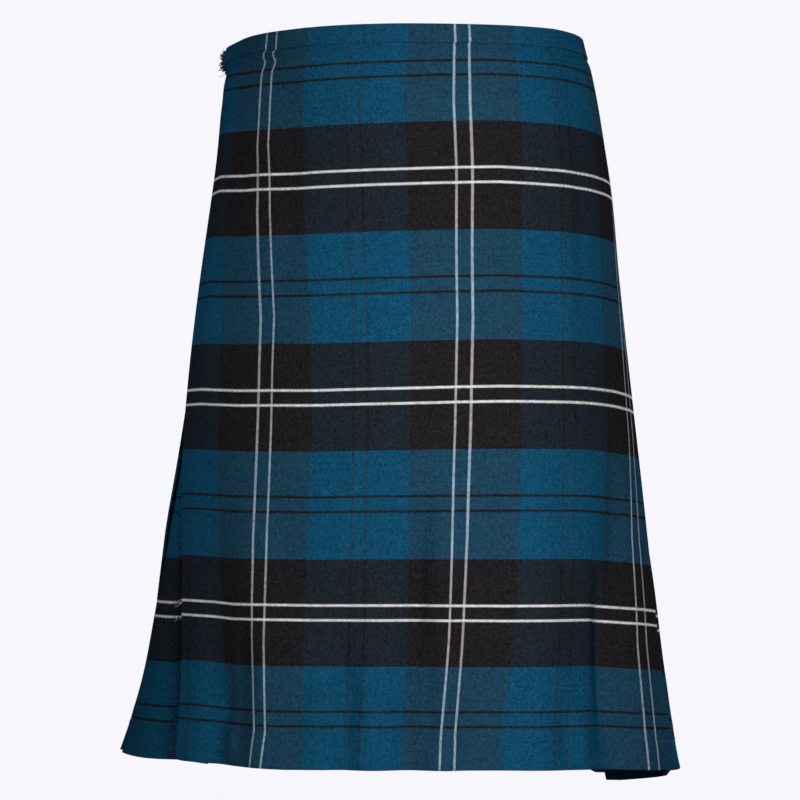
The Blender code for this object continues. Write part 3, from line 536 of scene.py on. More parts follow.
# ---- shaders ------------------------------------------------------------------------------------
class Nodes:
    """A node tree.  add() takes a node's type, its settings, and values or links for its sockets.

    A socket is named with _ for a space, or as i and its place among the inputs.
    """

    def add(self, kind, settings=None, **sockets):
        node = self.tree.nodes.new(kind)
        for key, value in (settings or {}).items():
            setattr(node, key, value)
        for key, value in sockets.items():
            by_place = key[0] == "i" and key[1:].isdigit()
            self.put(node, int(key[1:]) if by_place else key.replace("_", " "), value)
        return node

    def put(self, node, key, value):
        socket = node.inputs[key]
        if isinstance(value, Value):
            value = value.socket
        if isinstance(value, bpy.types.NodeSocket):
            self.tree.links.new(value, socket)
        elif socket.type == "RGBA":
            socket.default_value = (*value, 1.0)
        else:
            socket.default_value = value


class Shader(Nodes):
    """A material with one surface; Value wraps a socket for arithmetic."""

    def __init__(self, name):
        self.material = bpy.data.materials.new(name)
        self.material.use_nodes = True
        self.tree = self.material.node_tree
        self.tree.nodes.clear()
        self.surface = self.add("ShaderNodeBsdfPrincipled")
        self.add("ShaderNodeOutputMaterial", Surface=self.surface.outputs[0])

    def set(self, **sockets):
        for key, value in sockets.items():
            self.put(self.surface, key.replace("_", " "), value)

    def value(self, node, output=0):
        return Value(self, node.outputs[output])

    def place(self):
        """Object coordinates."""
        return self.add("ShaderNodeTexCoord").outputs["Object"]

    def parts(self, vector, count=2):
        node = self.add("ShaderNodeSeparateXYZ", Vector=vector)
        return [self.value(node, axis) for axis in range(count)]

    def noise(self, vector, scale, detail=2.0, roughness=0.5):
        node = self.add("ShaderNodeTexNoise", Vector=vector, Scale=scale, Detail=detail,
                        Roughness=roughness)
        return self.value(node, "Fac")

    def mix(self, share, first, second, blend="MIX"):
        """Colours mixed by share."""
        node = self.add("ShaderNodeMix", {"data_type": "RGBA", "blend_type": blend},
                        i0=share, i6=first, i7=second)
        return self.value(node, 2)

    def bump(self, height, distance, strength=1.0):
        node = self.add("ShaderNodeBump", Height=height, Distance=distance, Strength=strength)
        return self.value(node, "Normal")


class Value:
    """A socket that takes part in Python arithmetic."""

    def __init__(self, shader, socket):
        self.shader, self.socket = shader, socket

    def math(self, operation, *others, clamp=False):
        node = self.shader.add("ShaderNodeMath", {"operation": operation, "use_clamp": clamp})
        for index, other in enumerate((self, *others)):
            self.shader.put(node, index, other)
        return Value(self.shader, node.outputs[0])

    def __add__(self, other): return self.math("ADD", other)
    def __sub__(self, other): return self.math("SUBTRACT", other)
    def __mul__(self, other): return self.math("MULTIPLY", other)
    def __truediv__(self, other): return self.math("DIVIDE", other)
    def __neg__(self): return self.math("MULTIPLY", -1.0)
    def __rsub__(self, other): return (-self) + other
    __radd__, __rmul__ = __add__, __mul__

    def clamp(self): return self.math("ADD", 0.0, clamp=True)
    def abs(self): return self.math("ABSOLUTE")
    def sin(self): return self.math("SINE")
    def fract(self): return self.math("FRACT")
    def most(self, other): return self.math("MAXIMUM", other)

    def above(self, edge, soft):
        """0 below edge, 1 above it, over a width of soft."""
        return ((self - edge) / soft + 0.5).clamp()


# Colours of the cloth, by the warp's and the weft's colour where they cross (linear).
BLUE_ON_BLUE = (0.0040, 0.0740, 0.1500)
BLACK_WARP_BLUE_WEFT = (0.0110, 0.0570, 0.1030)
BLUE_WARP_BLACK_WEFT = (0.0125, 0.0190, 0.0280)
BLACK_ON_BLACK = (0.0135, 0.0122, 0.0145)
WHITE_WEFT = (0.78, 0.77, 0.78)
WHITE_WARP_BLUE_WEFT = (0.33, 0.44, 0.52)
WHITE_WARP_BLACK_WEFT = (0.42, 0.39, 0.40)
LINT = (0.16, 0.15, 0.16)     # pale fibres caught in the wool
LINE = 0.00035          # softness of a line's edge
YARN_BLUE, YARN_BLACK = (0.009, 0.085, 0.160), (0.013, 0.012, 0.013)    # the fringe's threads
YARN_WHITE = (0.62, 0.62, 0.63)
WOBBLE = (0.00018, 0.00038)     # how far the twill's steps move the lines' edges, warp and weft
THREAD_SHOWS = (0.92, 0.95)     # how much of a white line's colour shows, warp and weft
YARN_ACROSS, YARN_ALONG = 520.0, 45.0   # scale of the yarns' streaks
# How much each thing lightens the wool, from the first number up; the twill's share is painted shade
# of its ridges.
BASE_LIGHT = -0.43
FUZZ_LIGHT, CLOUD_LIGHT, WARP_LIGHT, WEFT_LIGHT, TWILL_PAINTED_SHADE = 1.90, 0.20, 0.36, 0.40, 0.10
LINT_FROM, LINT_SHARE = 0.42, 0.26      # the fibres' noise from which lint shows, and how much


def stripes(coordinate, wobble=0.0):
    """Masks of the black block with its thin lines, and of the white lines, for one direction."""
    repeat = ((coordinate / SETT + 0.5).fract() - 0.5).abs()
    white = 1 - ((repeat * SETT - PAIR_HALF).abs() + wobble).above(WHITE_HALF, LINE)
    thin = 1 - (((0.5 - repeat) * SETT - PAIR_HALF).abs() + wobble).above(BLACK_HALF, LINE)
    black = 1 - repeat.above(0.25, 2 * LINE / SETT)
    return black.most(thin), white


def tartan_material(name, lit=1.0):
    """The wool check; lit below 1 darkens it as painted shade, for cloth deep inside a fold."""
    shader = Shader(name)
    u, v = shader.parts(shader.add("ShaderNodeUVMap", {"uv_map": "cloth"}).outputs[0])
    solid = shader.place()
    twill = ((u + v) * (2 * math.pi / TWILL)).sin()
    fuzz = shader.noise(solid, 430.0, 3.0, 0.70)
    cloud = shader.noise(solid, 14.0, 3.0, 0.55)
    fibres = shader.noise(solid, 520.0, 2.0, 0.6)

    def streaks(u_scale, v_scale):
        drawn = shader.add("ShaderNodeCombineXYZ", X=u * u_scale, Y=v * v_scale)
        return shader.noise(shader.value(drawn), 1.0, 2.0, 0.6)

    warp_yarns, weft_yarns = streaks(YARN_ACROSS, YARN_ALONG), streaks(YARN_ALONG, YARN_ACROSS)
    warp_black, warp_white = stripes(u, twill * WOBBLE[0])
    weft_black, weft_white = stripes(v, twill * WOBBLE[1])
    on_blue = shader.mix(warp_black, BLUE_ON_BLUE, BLACK_WARP_BLUE_WEFT)
    on_black = shader.mix(warp_black, BLUE_WARP_BLACK_WEFT, BLACK_ON_BLACK)
    ground = shader.mix(weft_black, on_blue, on_black)
    lines = shader.mix(weft_black, WHITE_WARP_BLUE_WEFT, WHITE_WARP_BLACK_WEFT)
    colour = shader.mix(warp_white * THREAD_SHOWS[0], ground, lines)
    colour = shader.mix(weft_white * THREAD_SHOWS[1], colour, WHITE_WEFT)
    # the twill term is painted shade: its ridges lighter and its grooves darker
    light = (BASE_LIGHT + fuzz * FUZZ_LIGHT + cloud * CLOUD_LIGHT + warp_yarns * WARP_LIGHT
             + weft_yarns * WEFT_LIGHT + twill * TWILL_PAINTED_SHADE)
    grey = shader.add("ShaderNodeCombineColor", i0=light, i1=light, i2=light)
    wool = shader.mix(1.0, colour, shader.value(grey), "MULTIPLY")
    wool = shader.mix((fibres - LINT_FROM).clamp() * LINT_SHARE, wool, LINT)
    # painted shade: the colour darkened towards black for cloth that lies in a fold's shade
    if lit < 1:
        wool = shader.mix(lit, (0.0, 0.0, 0.0), wool)
    relief = twill * 0.5 + fuzz * 0.9
    shader.set(Base_Color=wool, Roughness=0.80 + fuzz * 0.16, Specular_IOR_Level=0.0,
               Normal=shader.bump(relief, 0.00012, 0.7))
    return shader.material


def yarn_material():
    """Weft threads of the fringe, each in its own colour."""
    shader = Shader("fringe_wool")
    own = shader.add("ShaderNodeAttribute", {"attribute_name": "weft"})
    black, white = stripes(shader.value(own, "Fac"))
    colour = shader.mix(black, YARN_BLUE, YARN_BLACK)
    colour = shader.mix(white, colour, YARN_WHITE)
    ply = shader.noise(shader.place(), 2400.0, 2.0)
    shader.set(Base_Color=colour, Roughness=0.84 + ply * 0.14, Specular_IOR_Level=0.08,
               Normal=shader.bump(ply, 0.0001, 0.8))
    return shader.material


def thread_material():
    shader = Shader("sewing_thread")
    twist = shader.noise(shader.place(), 1600.0, 2.0)
    shader.set(Base_Color=shader.mix(twist, (0.004, 0.010, 0.016), (0.008, 0.026, 0.040)),
               Roughness=0.55 + twist * 0.2, Normal=shader.bump(twist, 0.00008))
    return shader.material


def leather_material():
    shader = Shader("black_strap_leather")
    solid = shader.place()
    grain = shader.add("ShaderNodeTexVoronoi", {"feature": "DISTANCE_TO_EDGE"},
                       Vector=solid, Scale=850.0)
    pores = shader.value(grain).above(0.08, 0.12)
    wear = shader.noise(solid, 60.0, 4.0, 0.6)
    shader.set(Base_Color=shader.mix(wear, (0.010, 0.009, 0.009), (0.024, 0.021, 0.019)),
               Roughness=0.34 + wear * 0.22, Coat_Weight=0.15, Coat_Roughness=0.3,
               Normal=shader.bump(pores + wear * 0.6, 0.00012, 0.6))
    return shader.material


def steel_material():
    shader = Shader("polished_buckle_steel")
    brushed = shader.add("ShaderNodeMapping", Vector=shader.place(), Scale=(260.0, 260.0, 2600.0))
    scratch = shader.noise(brushed.outputs[0], 1.0, 3.0, 0.6)
    shader.set(Base_Color=shader.mix(scratch, (0.62, 0.61, 0.60), (0.74, 0.73, 0.71)),
               Roughness=0.14 + scratch * 0.16, Metallic=1.0,
               Normal=shader.bump(scratch, 0.00002, 0.5))
    return shader.material


TARTAN = tartan_material("tartan_twill")
# a darker copy of the tartan: painted shade for the layers deep inside the folds
TARTAN_PAINTED_SHADE = tartan_material("tartan_painted_fold_shade", 0.16)
YARN = yarn_material()
THREAD = thread_material()
LEATHER = leather_material()
STEEL = steel_material()


# ---- cloth pieces -------------------------------------------------------------------------------
APRON_ACROSS = 156
APRON_UNDER = 26
HEM_DOUBLED = 0.9       # how much thicker the turned-up hem is
HEM_ROUND = 0.0009      # height of its rounded edge
HEM_EDGE = 0.12         # the square of its thinnest share
CORNER_ROUND = 0.006    # the apron's lower corner at its fringed edge
FOLDED_SAG = 0.0032     # the apron's folded-under end hangs this much below its hem
SAG_FULL = 0.85         # share of the folded-under part by which it hangs in full
SAG_ENDS = (0.006, 0.012)   # how far from its end that stops
FOLD_BACK = np.array([(0.0, 0.0), (0.38, 0.0), (0.47, 0.006), (0.56, 0.006), (0.61, 0.001)])
APRON_DROPS = np.concatenate([
    np.linspace(0, HEM_LINE - 0.001, 142), [HEM_LINE, HEM_LINE + 0.0006],
    STITCH_LINE + np.array((0.0, 0.0007, 0.0020)),
    np.linspace(HEM_LINE + 0.007, LENGTH - HEM_ROUND, 5), [LENGTH - HEM_ROUND / 3, LENGTH]])


def hem_thickness(drop):
    """The cloth's thickness: doubled in the turned-up hem and rounded at its edge."""
    doubled = 1 + HEM_DOUBLED * (drop > HEM_LINE + 1e-4)
    near_edge = max(0.0, (drop - (LENGTH - HEM_ROUND)) / HEM_ROUND)
    return WALL * doubled * math.sqrt(max(HEM_EDGE, 1 - near_edge ** 2))


def apron_path(drop):
    """The over apron from its fringed edge to the left hip, then folded under, and a stub back."""
    left, right, pitch = at("fringe_edge", drop), at("fold_edge", drop), at("pitch", drop)
    above_corner = min(LENGTH - drop, CORNER_ROUND)
    right -= np.interp(drop, *FOLD_BACK.T)
    left += CORNER_ROUND - math.sqrt(CORNER_ROUND ** 2 - (CORNER_ROUND - above_corner) ** 2)
    front = np.linspace(left, right, APRON_ACROSS)
    depth = WALL / 2 + apron_depth(front, drop)
    edge_arcs, edge_depths = turn_stops(right, depth[-1], pitch, +1)
    under = np.linspace(right, right - DEEP_PLEAT, APRON_UNDER)[1:]
    under_depths = WALL / 2 + pitch + apron_depth(under, drop) + leaning(under, drop)
    end_arcs, end_depths = turn_stops(under[-1], under_depths[-1], pitch, -1, 3)
    arcs = np.concatenate([front, edge_arcs[1:], under, end_arcs[1:], [under[-1] + STUB]])
    depths = np.concatenate([depth, edge_depths[1:], under_depths, end_depths[1:], end_depths[-1:]])
    folded = np.maximum(0, np.arange(len(arcs)) - (APRON_ACROSS + 3)) / (APRON_UNDER * SAG_FULL)
    sags = FOLDED_SAG * (drop / LENGTH) ** 4 * np.minimum(1.0, folded)
    sags = sags * smooth(arcs - under[-1], *SAG_ENDS)
    steps = np.hypot(np.diff(arcs), np.diff(depths))
    beyond = np.cumsum(steps[APRON_ACROSS - 1:])
    warp = np.concatenate([warp_at(front, drop), warp_at(front[-1:], drop) + beyond])
    weft = weft_at(arcs, drop)
    return arcs, depths, sags, warp, weft


def paint_fold_shade(piece, path_at, hidden):
    """The columns that hidden(index) names lie inside the deep fold, in the tartan darkened with
    painted shade.
    """
    columns = len(path_at(0.0)[0])
    piece.data.materials.append(TARTAN_PAINTED_SHADE)
    for face in piece.data.polygons:
        if all(hidden(index % columns) for index in face.vertices):
            face.material_index = 1


def over_apron():
    piece = cloth_piece("over_apron_cloth", APRON_DROPS, apron_path, TARTAN, hem_thickness)
    # the folded-under end of the apron gets painted shade
    paint_fold_shade(piece, apron_path, lambda column: column > APRON_ACROSS + 4)
    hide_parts("over_apron")
    return piece


FACE_STEPS = 13         # columns on a pleat's visible face
PLEAT_DROPS = np.concatenate([np.linspace(0, LENGTH - 0.004, 74), [LENGTH - 0.0015, LENGTH]])
PLEAT_LOWER = (0.0060, 0.0030)      # how much lower the pleats' weft runs at the left and right hip
# The first panel, hidden under the apron: its columns' arcs and how far it sags, from its start.
DEEP_STOPS = (0.0, 0.0090, 0.0110, 0.0190, 0.0205, 0.036, 0.052, 0.068, 0.084, 0.098)
DEEP_SAG = np.array([
    (0.0, 0.0), (0.0090, 0.0), (0.0110, 0.0030), (0.0190, 0.0030), (0.0205, 0.0092),
    (0.036, 0.0092), (0.068, 0.0078), (0.098, 0.0056), (0.111, 0.0018)])
SAG_DROP = 0.40         # drop where that begins
FIRST_STEP = 0.0006     # how much deeper than a fold the first panel may lie
CROWN = 0.5             # how far a pleat's face swells out at the hem, in layers' pitches
CROWN_DROP = 0.2        # drop where it begins to
FIRST_SWELL, FIRST_GROWS, FIRST_FADES = 0.0016, (0.38, 0.46), (0.54, 0.60)  # the first pleat's
LAST_SWELL, LAST_GROWS = 0.0034, (0.40, 0.52)       # the last pleat's


def pleat_rises(pleat, stations, drop):
    """How deep a pleat's outer layer lies, from its outer edge back to the fold behind."""
    pitch = layer_pitch(stations, drop)
    rises = 2 * pitch * (pleat - stations)
    if pleat == 1:
        rises = np.minimum(rises, 2 * pitch + FIRST_STEP)
    share = np.clip(stations - (pleat - 1), 0, 1)
    crown = CROWN * pitch * 4 * share * (1 - share) * smooth(drop, CROWN_DROP, LENGTH)
    if pleat == 1:
        swelling = FIRST_SWELL * np.sin(math.pi * share) * smooth(drop, *FIRST_GROWS)
        crown = crown + swelling * (1 - smooth(drop, *FIRST_FADES))
    if pleat == PLEATS:
        crown = crown + LAST_SWELL * np.sin(math.pi * share ** 0.6) * smooth(drop, *LAST_GROWS)
    creased = crease_relief(BACK_CREASES, stations, drop) * np.sin(math.pi * share)
    return rises - crown - creased


def pleat_path(drop):
    """Knife pleats from the left hip, across the back, to the right hip."""
    reach = at("reach", drop)
    start = station_arcs(0.0, drop) - DEEP_PLEAT + STUB + SEAM
    deep_stops = np.interp(start + np.array(DEEP_STOPS), pleat_edges(drop), STATIONS)
    arcs, depths, warp = [], [], []

    def go(*along):
        for store, values in zip((arcs, depths, warp), along):
            store.append(values)

    def stretch(stations, rises, cloth):
        go(station_arcs(stations, drop), WALL / 2 + rises + tucked(stations, drop), cloth)

    for pleat in range(1, PLEATS + 1):
        edge = station_arcs(float(pleat), drop)
        at_edge = PLEATS_START + pleat * PLEAT_SHOWS
        hidden = deep_stops if pleat == 1 else np.linspace(pleat - 1 - reach, pleat - 1, 6)[:-1]
        face = pleat - 1 + np.linspace(0, 1, FACE_STEPS)
        for stations in (hidden, face[:-1]):
            cloth_there = at_edge - (edge - station_arcs(stations, drop))
            stretch(stations, pleat_rises(pleat, stations, drop), cloth_there)
        edge_depth = WALL / 2 + tucked(np.array([float(pleat)]), drop)[0]
        pitch = layer_pitch(float(pleat), drop)
        go(*turn_stops(edge, edge_depth, pitch, +1), at_edge + np.linspace(0, pitch, 5))
        inner = pleat - reach
        back = np.linspace(pleat, inner, 7)[1:]
        rises = layer_pitch(back, drop) * (1 + 2 * (pleat - back))
        stretch(back, rises, at_edge + pitch + edge - station_arcs(back, drop))
        pitch = layer_pitch(inner, drop)
        turn = turn_stops(arcs[-1][-1], depths[-1][-1], pitch, -1, 3)
        last = 3 if pleat == PLEATS else 2
        go(turn[0][1:last], turn[1][1:last], np.full(last - 1, warp[-1][-1] + pitch))
    go(arcs[-1][-1:] + STUB, depths[-1][-1:], warp[-1][-1:] + STUB)
    arcs, depths, warp = (np.concatenate(part) for part in (arcs, depths, warp))
    depths = depths + pressed(arcs, drop) + eased_in(arcs, drop)
    fold = at("fold_edge", drop)
    across = np.clip((arcs - fold) / (pleat_edges(drop)[-1] - fold), 0, 1)
    lower = PLEAT_LOWER[0] + (PLEAT_LOWER[1] - PLEAT_LOWER[0]) * across
    weft = np.interp(drop - lower, *WEFT_PLACES.T) * SETT
    from_start = np.maximum(0.0, arcs - start)
    sags = np.interp(from_start, *DEEP_SAG.T) * smooth(drop, SAG_DROP, LENGTH)
    return arcs, depths, sags, warp, weft


def back_pleats():
    piece = cloth_piece("back_pleats_cloth", PLEAT_DROPS, pleat_path, TARTAN)
    # the first panel, hidden under the apron, gets painted shade
    paint_fold_shade(piece, pleat_path, lambda column: column < len(DEEP_STOPS))
    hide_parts("back_pleats")
    return piece


UNDER_ACROSS = 120
UNDER_DROPS = np.linspace(0, LENGTH, 62)
UNDER_CLEAR = 0.0030    # room between the pleats' folds and the under apron behind them
UNDER_RISE = (0.070, 0.006)     # how far before the folds' end it begins to pass them and has done


def under_depth(arcs, drop):
    """How deep the under apron lies in front, and behind the deep fold."""
    near = at("under_front", drop)
    far = stack_depth(np.array([0.0]), drop)[0] + UNDER_CLEAR
    begins, full = (folds_end(drop) - before for before in UNDER_RISE)
    return near + (far - near) * smooth(arcs, begins, full)


def under_path(drop):
    """The under apron from the last pleat's inner fold, round the front, to the left hip."""
    girth = Ring.of(drop).girth
    start = station_arcs(PLEATS - at("reach", drop), drop) + STUB + SEAM
    inner = float(np.interp(start, pleat_edges(drop), STATIONS))
    behind = np.linspace(inner, PLEATS, 8)
    pitch = layer_pitch(behind, drop)
    rises = WALL / 2 + 2 * pitch * (PLEATS + 1 - behind) + tucked(behind, drop)
    begin, end = station_arcs(float(PLEATS), drop), girth + at("fold_edge", drop) - STUB
    share = np.linspace(0, 1, UNDER_ACROSS)[1:]
    ahead = begin + (end - begin) * share
    front = ahead - girth
    away = WALL / 2 + under_depth(front, drop) - crease_relief(UNDER_CREASES, front, drop)
    away = away + pressed(front, drop)
    away = rises[-1] + (away - rises[-1]) * smooth(share, 0.0, FRONT_BLEND)
    arcs = np.concatenate([station_arcs(behind, drop), ahead])
    depths = np.concatenate([rises, away]) + eased_in(arcs, drop)
    weft = np.interp(drop, *WEFT_PLACES.T) * SETT * np.ones(len(arcs))
    return arcs, depths, 0.0, arcs - girth, weft


def under_apron():
    piece = cloth_piece("under_apron_cloth", UNDER_DROPS, under_path, TARTAN)
    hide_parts("under_apron")
    return piece


# ---- waistband ----------------------------------------------------------------------------------
BAND_DROPS = (BAND_HEIGHT, BAND_HEIGHT * 0.8, BAND_HEIGHT * 0.5, BAND_HEIGHT * 0.2, 0.0)
LIP = 0.0007            # how far the rounding of the top edge reaches
LIP_SHARES = (0.35, 0.7, 1.0)   # its rows, from a side up to the top
LIP_INSIDE, SIDE_INSIDE = -0.004, -0.005    # the weft's place on the lip's inner half and below
BAND_WARP_DROP = 0.008  # drop where the front waistband takes its warp from the apron's
FOLDS_EASE = 0.014      # arc over which its lip widens for the folded-under layers


def band(name, node, outside, inside, inner_drops, warp):
    """A strip folded over a top edge.

    outside and inside give the covered cloth's two faces as (arcs, depths) at a drop; inner_drops
    are the drops down the inner side, or none for a lip only.
    """
    near, far, weft = [], [], []

    def row(face, side, drop, share, along):
        """A row of the strip's two faces, turned over the top edge by a share."""
        arcs, depths = face(drop)
        angle = share * math.pi / 2
        for store, off in ((near, BAND_GAP), (far, BAND_GAP + WALL)):
            away = side * off * math.cos(angle)
            store.append(lay(arcs, depths + away, drop, -off * math.sin(angle)))
        weft.append(along)

    for drop in BAND_DROPS:
        row(outside, -1, drop, 0.0, drop)
    for share in LIP_SHARES:
        row(outside, -1, 0.0, share, -share * LIP)
    for share in LIP_SHARES[::-1]:
        row(inside, 1, 0.0, share, LIP_INSIDE - (1 - share) * LIP)
    for drop in inner_drops:
        row(inside, 1, drop, 0.0, SIDE_INSIDE - drop)
    weft = np.array(weft)[:, None] + np.zeros(len(warp))
    first = WEFT_PLACES[0, 1] * SETT
    cloth = np.stack([np.broadcast_to(warp, weft.shape), weft + first], -1)
    piece = wall(name, np.array(far), np.array(near), cloth, TARTAN)
    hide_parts(node)
    return piece


def waistband_front():
    def arcs_at(drop):
        return np.linspace(at("fringe_edge", drop), at("fold_edge", drop), 200)

    def outside(drop):
        arcs = arcs_at(drop)
        return arcs, apron_depth(arcs, drop)

    def inside(drop):
        arcs, end = arcs_at(drop), folds_end(0.0)
        deep = stack_depth(np.array([0.0]), 0.0)[0] - WALL
        lip = deep * smooth(arcs, end - FOLDS_EASE, end)
        return arcs, apron_depth(arcs, drop) + WALL + lip - BAND_GAP

    warp = warp_at(arcs_at(BAND_WARP_DROP), BAND_WARP_DROP)
    return band("waistband_front_cloth", "waistband_front", outside, inside, (), warp)


def waistband_back():
    first = SEAM / (station_arcs(1.0, 0.0) - station_arcs(0.0, 0.0))
    stations = np.linspace(first, PLEATS, 220)

    def outside(drop):
        return station_arcs(stations, drop), tucked(stations, drop)

    def inside(drop):
        return station_arcs(stations, drop), stack_depth(stations, drop) + STACK_CLEAR

    warp = PLEATS_START + stations * PLEAT_SHOWS
    return band("waistband_back_cloth", "waistband_back", outside, inside, BAND_DROPS[::-1], warp)


def waistband_under():
    first = 8       # its first column beyond the pleats' stack

    def face(side):
        def at_drop(drop):
            arcs, depths = under_path(drop)[:2]
            pair = offset_pair(arcs, depths, WALL)[side]
            return pair[first:, 0], pair[first:, 1]
        return at_drop

    warp = under_path(0.0)[3][first:]
    return band("waistband_under_cloth", "waistband_under", face(0), face(1), BAND_DROPS[::-1],
                warp)


# ---- repeats made with Geometry Nodes -----------------------------------------------------------
def settled(piece):
    """What a piece's modifiers make of it, as a plain mesh."""
    evaluated = piece.evaluated_get(bpy.context.evaluated_depsgraph_get())
    return bpy.data.meshes.new_from_object(evaluated)


class Repeats(Nodes):
    """A Geometry Nodes tree that sets one small shape along a mesh's points or edges."""

    def __init__(self, name, sizes):
        self.tree = bpy.data.node_groups.new(name, "GeometryNodeTree")
        sockets = self.tree.interface
        sockets.new_socket("Geometry", in_out="INPUT", socket_type="NodeSocketGeometry")
        sockets.new_socket("Geometry", in_out="OUTPUT", socket_type="NodeSocketGeometry")
        self.sizes = {}
        for size, value in sizes.items():
            socket = sockets.new_socket(size, in_out="INPUT", socket_type="NodeSocketFloat")
            socket.default_value = value
            self.sizes[size] = (socket.identifier, value)
        self.given = self.tree.nodes.new("NodeGroupInput")
        self.made = self.tree.nodes.new("NodeGroupOutput")

    def size(self, name):
        return self.given.outputs[name]

    def vector(self, x, y, z):
        return self.add("ShaderNodeCombineXYZ", X=x, Y=y, Z=z).outputs[0]

    def scaled(self, socket, factor):
        node = self.add("ShaderNodeMath", {"operation": "MULTIPLY"}, i0=socket, i1=factor)
        return node.outputs[0]

    def read(self, name):
        """A named vector of each point."""
        node = self.add("GeometryNodeInputNamedAttribute", {"data_type": "FLOAT_VECTOR"}, Name=name)
        return node.outputs[0]

    def arc(self, start, middle, end, radius, sides, steps):
        """A bent thread through three points."""
        line = self.add("GeometryNodeCurveQuadraticBezier", Resolution=steps, Start=start,
                        Middle=middle, End=end)
        ring = self.add("GeometryNodeCurvePrimitiveCircle", Resolution=sides, Radius=radius)
        thread = self.add("GeometryNodeCurveToMesh", Curve=line.outputs[0],
                          Profile_Curve=ring.outputs[0], Fill_Caps=True)
        return thread.outputs[0]

    def finish(self, material, **sockets):
        """The threads set on the points, as a mesh in a material."""
        placed = self.add("GeometryNodeInstanceOnPoints", **sockets)
        real = self.add("GeometryNodeRealizeInstances", Geometry=placed.outputs[0])
        done = self.add("GeometryNodeSetMaterial", Geometry=real.outputs[0], Material=material)
        self.tree.links.new(done.outputs[0], self.made.inputs[0])

    def run(self, name, points, edges, vectors, numbers=None):
        """The tree's result on a mesh of points, with named vectors and numbers on its points."""
        mesh = bpy.data.meshes.new(name + "_guide")
        mesh.from_pydata(np.asarray(points, dtype=float).tolist(), edges, [])
        for key, values in vectors.items():
            layer = mesh.attributes.new(key, "FLOAT_VECTOR", "POINT")
            layer.data.foreach_set("vector", np.asarray(values, dtype=np.float32).ravel())
        for key, values in (numbers or {}).items():
            layer = mesh.attributes.new(key, "FLOAT", "POINT")
            layer.data.foreach_set("value", np.asarray(values, dtype=np.float32))
        guide = linked(name + "_guide", mesh)
        modifier = guide.modifiers.new("repeats", "NODES")
        modifier.node_group = self.tree
        for identifier, value in self.sizes.values():
            modifier[identifier] = value
        result = settled(guide)
        result.name = name
        result.shade_smooth()
        piece = linked(name, result)
        bpy.data.objects.remove(guide)
        return piece


YARN_SIZES = {"Length": 0.0160, "Radius": 0.00021, "Bend": 0.0030, "Spread": 0.30}
YARN_SHORTEST, YARN_LONGEST = (0.8, 0.8, 0.62), (1.25, 1.25, 1.08)


def loose_yarns():
    """Weft threads that stand out from the apron's fringed edge."""
    made = Repeats("loose_yarns", YARN_SIZES)
    length, bend, limit = made.size("Length"), made.size("Bend"), made.size("Spread")
    tip = made.vector(made.scaled(bend, -0.6), 0.0, length)
    middle = made.vector(bend, 0.0, made.scaled(length, 0.5))
    thread = made.arc((0.0, 0.0, 0.0), middle, tip, made.size("Radius"), 3, 5)
    points = made.add("GeometryNodeMeshToPoints", Mesh=made.given.outputs[0])
    turn = made.add("FunctionNodeAlignRotationToVector", {"axis": "Z"}, Vector=made.read("out"))
    low = made.vector(made.scaled(limit, -1.0), made.scaled(limit, -1.0), -math.pi)
    shake = made.add("FunctionNodeRandomValue", {"data_type": "FLOAT_VECTOR"}, i0=low,
                     i1=made.vector(limit, limit, math.pi), Seed=3)
    shaken = made.add("FunctionNodeEulerToRotation", i0=shake.outputs[0])
    turned = made.add("FunctionNodeRotateRotation", {"rotation_space": "LOCAL"},
                      i0=turn.outputs[0], i1=shaken.outputs[0])
    long = made.add("FunctionNodeRandomValue", {"data_type": "FLOAT_VECTOR"}, i0=YARN_SHORTEST,
                    i1=YARN_LONGEST, Seed=8)
    scale = made.add("ShaderNodeVectorMath", {"operation": "MULTIPLY"}, i0=long.outputs[0],
                     i1=made.read("stretch"))
    made.finish(YARN, Points=points.outputs[0], Instance=thread, Rotation=turned.outputs[0],
                Scale=scale.outputs[0])
    return made


FRINGE_START = 0.0003   # drop of the first thread
ROOT_IN = 0.0006        # how far inside the cut edge the threads start
ROOT_SPREAD = 0.25      # how far their roots lie from the cloth's middle, as a share of WALL
THREAD_STEP = 0.00052   # drop from one loose thread to the next
TUFT_STEP = THREAD_STEP * 0.19      # the same in the tuft at the top corner
TUFT_STRETCH = (1.5, 1.5, 0.50)     # its threads are bent more and are shorter
THREAD_REACH, THREAD_FALL = 0.006, 0.0020   # from a thread's root to where it points: out and down
# How much deeper that is than the root: less than nothing stands out, more turns in to the pleats.
FRINGE_TURN = np.array([
    (0.0, -0.0040), (0.010, -0.0036), (0.018, -0.0018), (0.028, 0.0046), (0.330, 0.0046),
    (0.420, 0.0012), (0.610, 0.0012)])


def fringe():
    drops = np.concatenate([np.arange(FRINGE_START, FRINGE_TOP, TUFT_STEP),
                            np.arange(FRINGE_TOP, FRINGE_END, THREAD_STEP)])
    spots, out, wefts = [], [], []
    for k, drop in enumerate(drops):
        here = np.array([at("fringe_edge", drop) + ROOT_IN])
        depth = apron_depth(here, drop) + WALL * (0.5 + ROOT_SPREAD * math.sin(k * 2.1))
        inner = lay(here, depth, drop)[0]
        turn = np.interp(drop, *FRINGE_TURN.T)
        outer = lay(here - THREAD_REACH, depth + turn, drop, THREAD_FALL)[0]
        spots.append(inner)
        out.append((outer - inner) / np.linalg.norm(outer - inner))
        wefts.append(weft_at(here, drop)[0])
    stretch = [TUFT_STRETCH if drop < FRINGE_TOP else (1.0, 1.0, 1.0) for drop in drops]
    guides = {"out": out, "stretch": stretch}
    piece = loose_yarns().run("apron_fringe_yarns", spots, [], guides, {"weft": wefts})
    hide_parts("apron_fringe")
    return piece


# Stitches: length, from one to the next, the thread's radius, and how far each stands out.
HEM_STITCH = (0.0026, 0.0036, 0.00016, 0.00035)
BAND_STITCH = (0.0021, 0.0029, 0.00015, 0.00032)
STRAP_STITCH = (0.0022, 0.0030, 0.00022, 0.00042)
BAND_STITCH_LINE = BAND_HEIGHT - 0.0016


